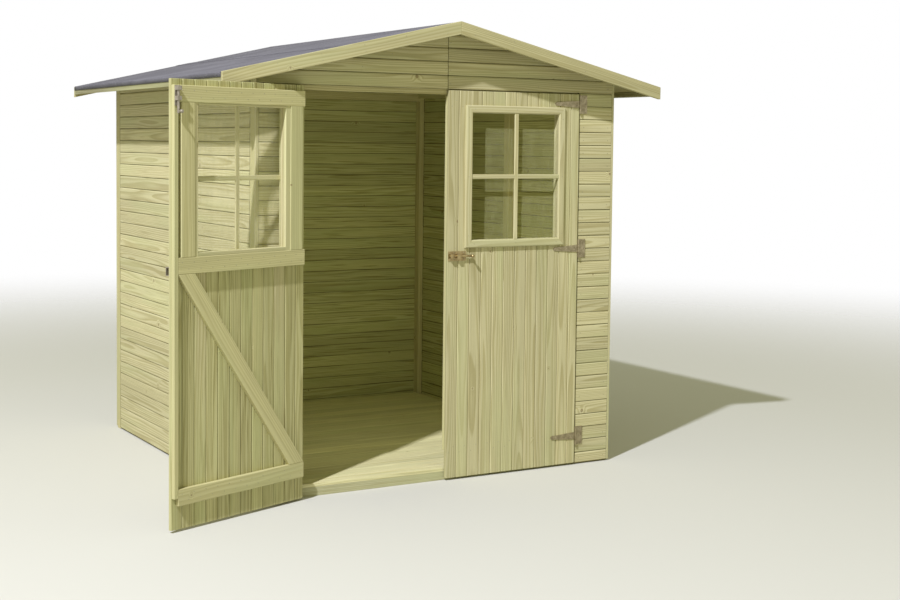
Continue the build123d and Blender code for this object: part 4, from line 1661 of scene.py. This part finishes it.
@dataclass
class DoorLeaf:
    """One leaf: matchboards, ledges, stiles, brace, window and its ironwork."""

    workshop: Workshop
    side: Side
    framing: float = 0.018
    arris: float = 0.0022
    first_line: float = 0.053
    least_board: float = 0.008
    vee: float = 0.0035
    ledge: float = 0.064
    ledge_bottoms: tuple[float, float, float] = (1.634, 0.986, 0.104)
    batten_width: float = 0.020
    batten_bottom: float = 0.134
    batten_gap: float = 0.014
    stile: float = 0.068
    ledge_inset: float = 0.012
    stile_inset: float = 0.025
    window_margin: float = 0.118
    window_bottom: float = 1.065
    window_top: float = 1.626
    trim_width: float = 0.034
    trim_thickness: float = 0.012
    bar_width: float = 0.020
    bar_set_back: float = 0.002
    glass_proud: float = 0.002
    bead_depth: float = 0.015
    # Sizes of the frame's shadow painted into the right pane's haze.
    shade_right: float = 0.070
    shade_down: float = 0.067
    bar_shade_drop: float = 0.057
    bar_shade_height: float = 0.023
    bar_shade_width: float = 0.027
    # Share of the painted indoor shade on the leaf's inner face.
    shade: float = 0.6
    brace_end: float = 0.066
    bar_arris: float = 0.0024
    bar_sunk: float = 0.0008
    joint: float = 0.00015
    nail_shares: tuple[Point2, ...] = ((0.28, 0.3), (0.72, 0.7))
    nail_margin: float = 0.004
    trim_nail: float = 0.017
    trim_nail_inset: float = 0.01
    trim_nail_middle: float = 1.345
    pair: Point2 = (0.007, -0.007)
    strap_screws: tuple[float, ...] = (0.022, 0.062, 0.100, 0.126)
    latch_plate: float = 0.0025
    latch_screws: tuple[Point2, ...] = ((0.036, 0.982), (0.036, 1.010), (0.086, 0.982), (0.086, 1.010))

    @property
    def place(self) -> Matrix:
        """Return the leaf's rest place, from the closed right leaf."""
        return leaf_place(self.side)

    @property
    def body(self) -> str:
        """Return the CAD body's name."""
        return f"{self.side.word}_door"

    @property
    def window(self) -> tuple[float, float]:
        """Return the window opening's limits across the leaf."""
        return SIZES.leaf_inner + self.window_margin, SIZES.leaf_outer - self.window_margin

    @property
    def seed(self) -> int:
        """Return the leaf's own seed."""
        return 700 + 31 * self.side.value

    def build(self) -> None:
        """Build the whole leaf."""
        self.boards()
        self.frame_timbers()
        self.window_trim()
        self.beads()
        self.pane()
        self.ironwork()

    def upright(self, x: float, y: float) -> Matrix:
        """Return the placed frame of an upright timber: u across, v inwards, w up."""
        return self.place @ basis((x, y, 0.0), (1, 0, 0), (0, 1, 0), (0, 0, 1))

    def level(self, y: float, z: float) -> Matrix:
        """Return the placed frame of a level timber: u up, v inwards, w across the leaf."""
        return self.place @ basis((0.0, y, z), (0, 0, 1), (0, 1, 0), (1, 0, 0))

    def board_edges(self) -> list[float]:
        """Find the lines between the boards, with the leaf's own edges.

        Returns:
            Their places across the leaf.
        """
        lines = [SIZES.leaf_inner]
        line = SIZES.leaf_inner + self.first_line
        while line < SIZES.leaf_outer - self.least_board:
            lines.append(line)
            line += SIZES.line_pitch
        return lines + [SIZES.leaf_outer]

    def boards(self) -> None:
        """Build the upright boards; those at the window are cut round it."""
        timbers = TimberMesh(self.seed)
        low, high = self.window
        cuts: list[bpy.types.Object] = []
        edges = self.board_edges()
        for number, (left, right) in enumerate(zip(edges, edges[1:])):
            section = tongue_section(right - left, SIZES.board, self.vee)
            section = self.squared_edges(section, number == 0, number == len(edges) - 2)
            place = self.upright(left, SIZES.leaf_face)
            limits = [(SIZES.leaf_bottom, SIZES.leaf_top)]
            if left > low and right < high:
                limits = [(SIZES.leaf_bottom, self.window_bottom), (self.window_top, SIZES.leaf_top)]
            elif right > low and left < high:
                cuts.append(self.notched(section, place, number))
                continue
            for start, end in limits:
                timbers.add(section, place, start, end, indoors=self.shade)
        made = join(f"{self.side.word}_leaf_planks", [timbers.finished("leaf_boards"), *cuts])
        paint(made, DOOR_PINE)
        hand_over(made, self.body, "door_timber", f"{self.side.word}_door_boards")

    @staticmethod
    def squared_edges(section: list[Mark], first: bool, last: bool) -> list[Mark]:
        """Keep only a small arris on the leaf's own two edges.

        Args:
            section: The board's section.
            first: True for the meeting edge's board.
            last: True for the hinge edge's board.

        Returns:
            The section.
        """
        width = max(point[0] for point in section)
        thickness = max(point[1] for point in section)
        points = []
        for u, v, depth in section:
            if (first and u < width / 2) or (last and u > width / 2):
                reach = min(u, width - u) * 0.35
                rise = min(v, thickness - v) * 0.35
                u = reach if u < width / 2 else width - reach
                v = rise if v < thickness / 2 else thickness - rise
                depth = 0.0
            points.append((u, v, depth))
        return points

    def notched(self, section: Sequence[Mark], place: Matrix, number: int) -> bpy.types.Object:
        """Build one board that the window's edge runs through.

        Args:
            section: The board's section.
            place: Its placed frame.
            number: Its number in the leaf, for its seed.

        Returns:
            The board with the window cut out of it.
        """
        single = TimberMesh(self.seed + 50 + number)
        shift, tone = single.draw()
        single.add(section, Matrix.Identity(4), SIZES.leaf_bottom, SIZES.leaf_top, plain=True,
                   indoors=self.shade)
        board = single.finished("notched_board")
        offset = (self.place.inverted() @ place).translation.x
        low, high = (edge - offset for edge in self.window)
        cutter = TimberMesh(1)
        box = [(low, -0.1, 0.0), (high, -0.1, 0.0), (high, 0.1, 0.0), (low, 0.1, 0.0)]
        cutter.add(box, Matrix.Identity(4), self.window_bottom, self.window_top, 0.0, plain=True)
        tool = cutter.finished("window_tool")
        modifier = board.modifiers.new("window", "BOOLEAN")
        modifier.operation, modifier.solver, modifier.object = "DIFFERENCE", "EXACT", tool
        data = evaluated(board)
        for thing in (board, tool):
            bpy.data.objects.remove(thing)
        grain, tones = data.attributes["grain"], data.attributes["tone"]
        for vertex in data.vertices:
            grain.data[vertex.index].vector = vertex.co + shift
            tones.data[vertex.index].value = tone
        data.transform(place)
        if place.determinant() < 0:
            data.flip_normals()
        return linked("notched_board", data)

    def frame_timbers(self) -> None:
        """Build ledges, stiles, meeting batten and brace."""
        timbers = TimberMesh(self.seed + 100)
        back = SIZES.leaf_back
        batten_end = SIZES.leaf_inner + self.batten_width
        top, middle, _ = self.ledge_bottoms
        timbers.add(squared(self.batten_width, self.framing), self.upright(SIZES.leaf_inner, back),
                    self.batten_bottom, top + self.ledge)
        for height in self.ledge_bottoms:
            timbers.add(squared(self.ledge, self.framing, self.arris), self.level(back, height),
                        batten_end + CLEARANCE, SIZES.leaf_outer - self.ledge_inset)
        for x in (batten_end + self.batten_gap, SIZES.leaf_outer - self.stile_inset - self.stile):
            timbers.add(squared(self.stile, self.framing, self.arris), self.upright(x, back),
                        middle + self.ledge + CLEARANCE, top - CLEARANCE)
        word = self.side.word
        brace = TimberMesh(self.seed + 130)
        brace.add_node(f"{word}_door_brace", self.brace_place(), self.arris)
        ledges = timbers.finished("ledges", RAIL_PINE)
        whole = join(f"{word}_leaf_framing", [ledges, brace.finished("strut", RAIL_PINE)])
        hand_over(whole, self.body, "door_timber", f"{word}_door_framing", f"{word}_door_brace")
        self.frame_nails()

    def brace_place(self) -> Matrix:
        """Find the frame in which the brace lies square, with w along it.

        Returns:
            The frame.
        """
        low, high = self.ledge_bottoms[2] + self.ledge, self.ledge_bottoms[1]
        start = Vector((SIZES.leaf_inner + self.batten_width, 0.0, high))
        end = Vector((SIZES.leaf_outer - self.ledge_inset - self.brace_end, 0.0, low))
        along = (end - start).normalized()
        across = Vector((-along.z, 0.0, along.x))
        return self.place @ basis((0, 0, 0), across, (0, 1, 0), along)

    def bars(self, front: float, back: float) -> bpy.types.Object:
        """Build a crossed pair of glazing bars between two planes.

        Args:
            front: Their outer plane.
            back: Their inner plane.

        Returns:
            The bars, with the level one in two halves.
        """
        timbers = TimberMesh(self.seed + 150)
        low, high = self.window
        half = self.bar_width / 2
        middle_x, middle_z = (low + high) / 2, (self.window_bottom + self.window_top) / 2
        section = squared(self.bar_width, back - front, self.bar_arris)
        timbers.add(section, self.upright(middle_x - half, front), self.window_bottom, self.window_top, 0.0)
        near = half - self.bar_sunk
        for start, end in ((low, middle_x - near), (middle_x + near, high)):
            timbers.add(section, self.level(front, middle_z - half), start, end, 0.0)
        return timbers.finished("outer_bars", TRIM_PINE)

    def window_trim(self) -> None:
        """Build the mitred trim round the window, with the outer glazing bars."""
        timbers = TimberMesh(self.seed + 200)
        left, right = self.window
        low, high = self.window_bottom, self.window_top
        width, face = self.trim_width, SIZES.leaf_face - self.trim_thickness
        section = self.trim_section()
        turned = [(width - u, v, depth) for u, v, depth in section]

        def mitred(limit: float, way: int, flip: bool) -> Length:
            """Return a mitred end; a flipped piece is longest at its section's far side."""
            return lambda u, v: limit + way * ((width - u if flip else u) + self.joint)

        for place, start, end, flip in (
                (self.upright(left - width, face), low - width, high + width, False),
                (self.upright(right, face), low - width, high + width, True),
                (self.level(face, low - width), left - width, right + width, False),
                (self.level(face, high), left - width, right + width, True)):
            timbers.add(turned if flip else section, place, mitred(start, 1, flip),
                        mitred(end, -1, flip), 0.0)
        bars = self.bars(face + self.bar_set_back, SIZES.leaf_face - self.glass_proud)
        whole = join(f"{self.side.word}_window_trim", [timbers.finished("trim", TRIM_PINE), bars])
        hand_over(whole, self.body, "trim_timber", f"{self.side.word}_door_window_frame")

    def beads(self) -> None:
        """Build the beads inside, between the framing and the window's opening."""
        timbers = TimberMesh(self.seed + 250)
        low, high = self.window
        left = SIZES.leaf_inner + self.batten_width + self.batten_gap + self.stile + CLEARANCE
        right = SIZES.leaf_outer - self.stile_inset - self.stile - CLEARANCE
        bottom, top = self.ledge_bottoms[1] + self.ledge + CLEARANCE, self.ledge_bottoms[0] - CLEARANCE
        back = SIZES.leaf_back
        for start, end in ((left, low), (high, right)):
            timbers.add(squared(end - start, self.bead_depth), self.upright(start, back), bottom, top, 0.0)
        for start, end in ((bottom, self.window_bottom), (self.window_top, top)):
            timbers.add(squared(end - start, self.bead_depth), self.level(back, start),
                        low + CLEARANCE / 2, high - CLEARANCE / 2, 0.0)
        made = timbers.finished(f"{self.side.word}_glazing_beads", TRIM_PINE)
        hand_over(made, self.body, "trim_timber")

    def trim_section(self) -> list[Mark]:
        """Draw the trim's section: a rounded outer edge and a bevel towards the glass.

        Returns:
            Points round the section.
        """
        width, depth, bend = self.trim_width, self.trim_thickness, 0.0048
        points = [(0.0, depth), (0.0, bend)]
        for step in range(1, 6):
            angle = math.pi / 2 * step / 5
            points.append((bend - bend * math.cos(angle), bend - bend * math.sin(angle)))
        points += [(width - 0.0060, 0.0), (width - 0.0048, 0.0004), (width - 0.0008, 0.0040), (width, 0.0050),
                   (width, depth)]
        return [(u, v, 0.0) for u, v in points]

    def pane(self) -> None:
        """Give the pane its finish, with the frame's shadow painted into the haze on the leaf that is shut at
        rest.
        """
        finish = PANE
        if self.side is Side.RIGHT:
            finish = GlassFinish("shaded_pane", zones=self.shaded_zones())
        paint_node(f"{self.side.word}_door_glass", finish)

    def shaded_zones(self) -> tuple[Zone, ...]:
        """Find where the painted shadow of trim and bars lies on the pane: beside, under the top, under and
        beside a bar.

        Returns:
            The painted shadow zones (x from, x to, z from, z to).
        """
        left, right = self.window
        low, high = self.window_bottom, self.window_top
        bar_side = (left + right + self.bar_width) / 2
        bar_foot = (low + high - self.bar_width) / 2
        past = self.trim_width
        return (
            (left - past, left + self.shade_right, low - past, high + past),
            (left - past, right + past, high - self.shade_down, high + past),
            (left - past, right + past, bar_foot - self.bar_shade_drop - self.bar_shade_height,
             bar_foot - self.bar_shade_drop),
            (bar_side - self.bar_width, bar_side + self.bar_shade_width, low - past, high + past),
        )

    def frame_nails(self) -> None:
        """Nail ledges, stiles and brace from both faces, and the trim from outside."""
        spots: list[Spot] = []
        inward = self.place.to_3x3() @ Vector((0, 1, 0))
        edges = self.board_edges()
        low, high = self.window
        trimmed = (low - self.trim_width - self.nail_margin, high + self.trim_width + self.nail_margin)
        ledge_end = SIZES.leaf_outer - self.ledge_inset - self.nail_margin

        def nail(x: float, y: float, z: float, way: Vector) -> None:
            """Add a nail at a place of the closed right leaf."""
            spots.append((self.place @ Vector((x, y, z)), way))

        for height in self.ledge_bottoms:
            for left, right in zip(edges, edges[1:]):
                for share, rise in self.nail_shares:
                    x = left + (right - left) * share
                    z = height + self.ledge * rise
                    if SIZES.leaf_inner + self.batten_width < x < ledge_end:
                        nail(x, SIZES.leaf_back + self.framing + PROUD, z, inward)
                    if height < self.window_bottom - self.ledge or not trimmed[0] <= x <= trimmed[1]:
                        nail(x, SIZES.leaf_face - PROUD, z, -inward)
        trim = SIZES.leaf_face - self.trim_thickness - PROUD
        for z in (self.window_bottom - self.trim_nail, self.window_top + self.trim_nail):
            for x in (low + self.trim_nail_inset, (low + high) / 2, high - self.trim_nail_inset):
                nail(x, trim, z, -inward)
        for x in (low - self.bar_width, high + self.bar_width):
            for z in (self.window_bottom + 2 * self.trim_nail_inset, self.trim_nail_middle,
                      self.window_top - 2 * self.trim_nail_inset):
                nail(x, trim, z, -inward)
        self.workshop.fix(f"{self.side.word}_leaf_nails", spots, Head.NAIL, self.body, 6)

    def ironwork(self) -> None:
        """Finish the straps and set their screws, and the latch's on the right leaf."""
        paint_node(f"{self.side.word}_door_hinge_straps", HINGE_STEEL)
        out = self.place.to_3x3() @ Vector((0, -1, 0))
        face = SIZES.leaf_face - SIZES.iron
        spots: list[Spot] = []
        for height in SIZES.hinge_heights:
            for reach in self.strap_screws:
                for rise in self.pair if reach == self.strap_screws[0] else (0.0,):
                    spots.append((self.place @ Vector((SIZES.pin_x - reach, face, height + rise)), out))
        if self.side is Side.RIGHT:
            latch = SIZES.leaf_face - self.latch_plate
            spots += [(Vector((x, latch, z)), out) for x, z in self.latch_screws]
        self.workshop.fix(f"{self.side.word}_hinge_screws", spots, Head.SCREW, self.body, 8)


def paint_node(node: str, finish: Finish) -> None:
    """Give a CAD node that is shown as it is a finish.

    Args:
        node: The node's name.
        finish: The finish.
    """
    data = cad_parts[node].data
    if not data.materials:
        data.materials.append(finish.material())
    for index in range(len(data.materials)):
        data.materials[index] = finish.material()


@dataclass
class ShellIronwork:
    """Hinge plates on the walls, and the bolts that slide."""

    workshop: Workshop
    plate_rise: float = 0.030
    outer_screw: float = 0.026
    middle_screw: float = 0.032

    def build(self) -> None:
        """Finish the plates and bolts, and screw the plates on."""
        paint_node("hinge_plates", HINGE_STEEL)
        for node in ("latch_bolt", "right_door_latch_guides"):
            paint_node(node, BOLT_BRASS)
        for node in ("left_door_bolt_fittings", "top_bolt"):
            paint_node(node, BOLT_ZINC)
        spots: list[Spot] = []
        face = -SIZES.half_depth - SIZES.iron
        for side in Side:
            for height in SIZES.hinge_heights:
                for rise in (-self.plate_rise, 0.0, self.plate_rise):
                    x = side.value * (SIZES.pin_x + (self.outer_screw if rise else self.middle_screw))
                    spots.append((Vector((x, face, height + rise)), Vector((0, -1, 0))))
        self.workshop.fix("plate_screws", spots, Head.SCREW, seed=2)


# Stage

@dataclass
class Studio:
    """Plain pale floor, soft lamps and the camera at the photograph's angle."""

    focal_px: float = 1441.88
    centre_px: Point2 = (449.94, 225.41)
    image_px: Point2 = (900.0, 600.0)
    place: tuple[float, float, float] = (-3.1863, -6.3645, 1.4878)
    yaw: float = math.radians(-30.47)
    tip: float = math.radians(-3.23)
    roll: float = math.radians(0.62)
    key_way: tuple[float, float, float] = (-0.80, -0.606, 1.0)
    key_far: float = 13.0
    key_size: float = 0.32
    key_light: float = 3.5
    fill_strength: float = 0.435
    room_place: tuple[float, float, float] = (0.0, -0.80, 1.08)
    room_size: float = 1.25
    room_power: float = 4.3
    key_tint: Colour = (1.0, 1.0, 1.17)
    warm: Colour = (1.0, 0.98, 0.62)
    room_tint: Colour = (1.0, 1.0, 0.66)
    floor_near: float = 2.6
    floor_far: float = 10.0
    floor_half: float = 40.0
    paper: Colour = (0.60, 0.60, 0.53)
    film: float = 36.0

    def floor(self) -> None:
        """Lay a wide pale floor that fades out far away."""
        mesh = bmesh.new()
        bmesh.ops.create_grid(mesh, x_segments=1, y_segments=1, size=self.floor_half)
        data = bpy.data.meshes.new("studio_floor")
        mesh.to_mesh(data)
        mesh.free()
        paper = bpy.data.materials.new("studio_paper")
        paper.use_nodes = True
        bench = NodeBench(paper.node_tree)
        pale = bench.add("ShaderNodeBsdfPrincipled", {"Base Color": self.paper, "Roughness": 0.9})
        place = bench.add("ShaderNodeTexCoord").outputs["Object"]
        far = bench.span(bench.vector("LENGTH", place), self.floor_near, self.floor_far)
        clear = bench.add("ShaderNodeBsdfTransparent")
        mixed = bench.add("ShaderNodeMixShader")
        for index, socket in enumerate((far, pale.outputs[0], clear.outputs[0])):
            bench.feed(mixed, index, socket)
        bench.add("ShaderNodeOutputMaterial", {"Surface": mixed.outputs[0]})
        data.materials.append(paper)
        linked("studio_floor", data)

    def lamp(self, name: str, place: Sequence[float], target: Sequence[float], size: float, power: float,
             colour: Colour = (1.0, 1.0, 1.0)) -> None:
        """Hang a square soft lamp.

        Args:
            name: The lamp's name.
            place: Where it hangs.
            target: What it points at.
            size: Its side.
            power: Its power in watts.
            colour: Its colour.
        """
        data = bpy.data.lights.new(name, "AREA")
        data.size, data.energy, data.color = size, power, colour
        made = linked(name, data)
        made.location = place
        made.rotation_euler = (Vector(target) - Vector(place)).to_track_quat("-Z", "Y").to_euler()

    def lamps(self) -> None:
        """Hang the key lamp on the front left and a soft one in the doorway, and light the rest evenly."""
        target = Vector((0.0, 0.0, 1.0))
        place = target + Vector(self.key_way).normalized() * self.key_far
        power = self.key_light * math.pi * self.key_far ** 2
        self.lamp("key_lamp", place, target, self.key_size, power, self.key_tint)
        inward = Vector(self.room_place) + Vector((0.0, 1.0, 0.0))
        self.lamp("room_lamp", self.room_place, inward, self.room_size, self.room_power, self.room_tint)
        world = bpy.data.worlds.new("studio_world")
        bpy.context.scene.world = world
        world.use_nodes = True
        bench = NodeBench(world.node_tree)
        path = bench.add("ShaderNodeLightPath").outputs
        clear = bench.math("MAXIMUM", path["Is Glossy Ray"], path["Is Transmission Ray"])
        seen = bench.math("MAXIMUM", path["Is Camera Ray"], clear)
        light = bench.add("ShaderNodeBackground", {
            "Color": bench.blend(seen, self.warm, (1.0, 1.0, 1.0)),
            "Strength": bench.line(seen, 1.0 - self.fill_strength, self.fill_strength)})
        bench.add("ShaderNodeOutputWorld", {"Surface": light.outputs[0]})

    def camera(self) -> None:
        """Set the camera that the photograph was fitted with."""
        forward = Vector((-math.sin(self.yaw) * math.cos(self.tip), math.cos(self.yaw) * math.cos(self.tip),
                          math.sin(self.tip)))
        level = Vector((math.cos(self.yaw), math.sin(self.yaw), 0.0))
        upright = level.cross(forward)
        right = level * math.cos(self.roll) + upright * math.sin(self.roll)
        up = upright * math.cos(self.roll) - level * math.sin(self.roll)
        wide, high = self.image_px
        data = bpy.data.cameras.new("photo_camera")
        data.sensor_fit, data.sensor_width = "HORIZONTAL", self.film
        data.lens = self.focal_px / wide * self.film
        data.shift_x = (wide / 2 - self.centre_px[0]) / wide
        data.shift_y = (self.centre_px[1] - high / 2) / wide
        data.clip_end = 200.0
        made = linked("photo_camera", data)
        made.matrix_world = basis(self.place, right, up, -forward)
        bpy.context.scene.camera = made

    def build(self) -> None:
        """Set the stage."""
        bpy.context.scene.view_settings.view_transform = "Standard"
        self.floor()
        self.lamps()
        self.camera()


def main() -> None:
    """Build the shed's pieces in order and set the stage."""
    logging.basicConfig(level=logging.INFO, format="%(name)s: %(message)s")
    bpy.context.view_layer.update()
    workshop = Workshop()
    Cladding(workshop).build()
    WallFrame().build()
    Floor(workshop).build()
    Roof(workshop).build()
    for side in Side:
        DoorLeaf(workshop, side).build()
    ShellIronwork(workshop).build()
    workshop.clear()
    Studio().build()


if __name__ == "__main__":
    main()
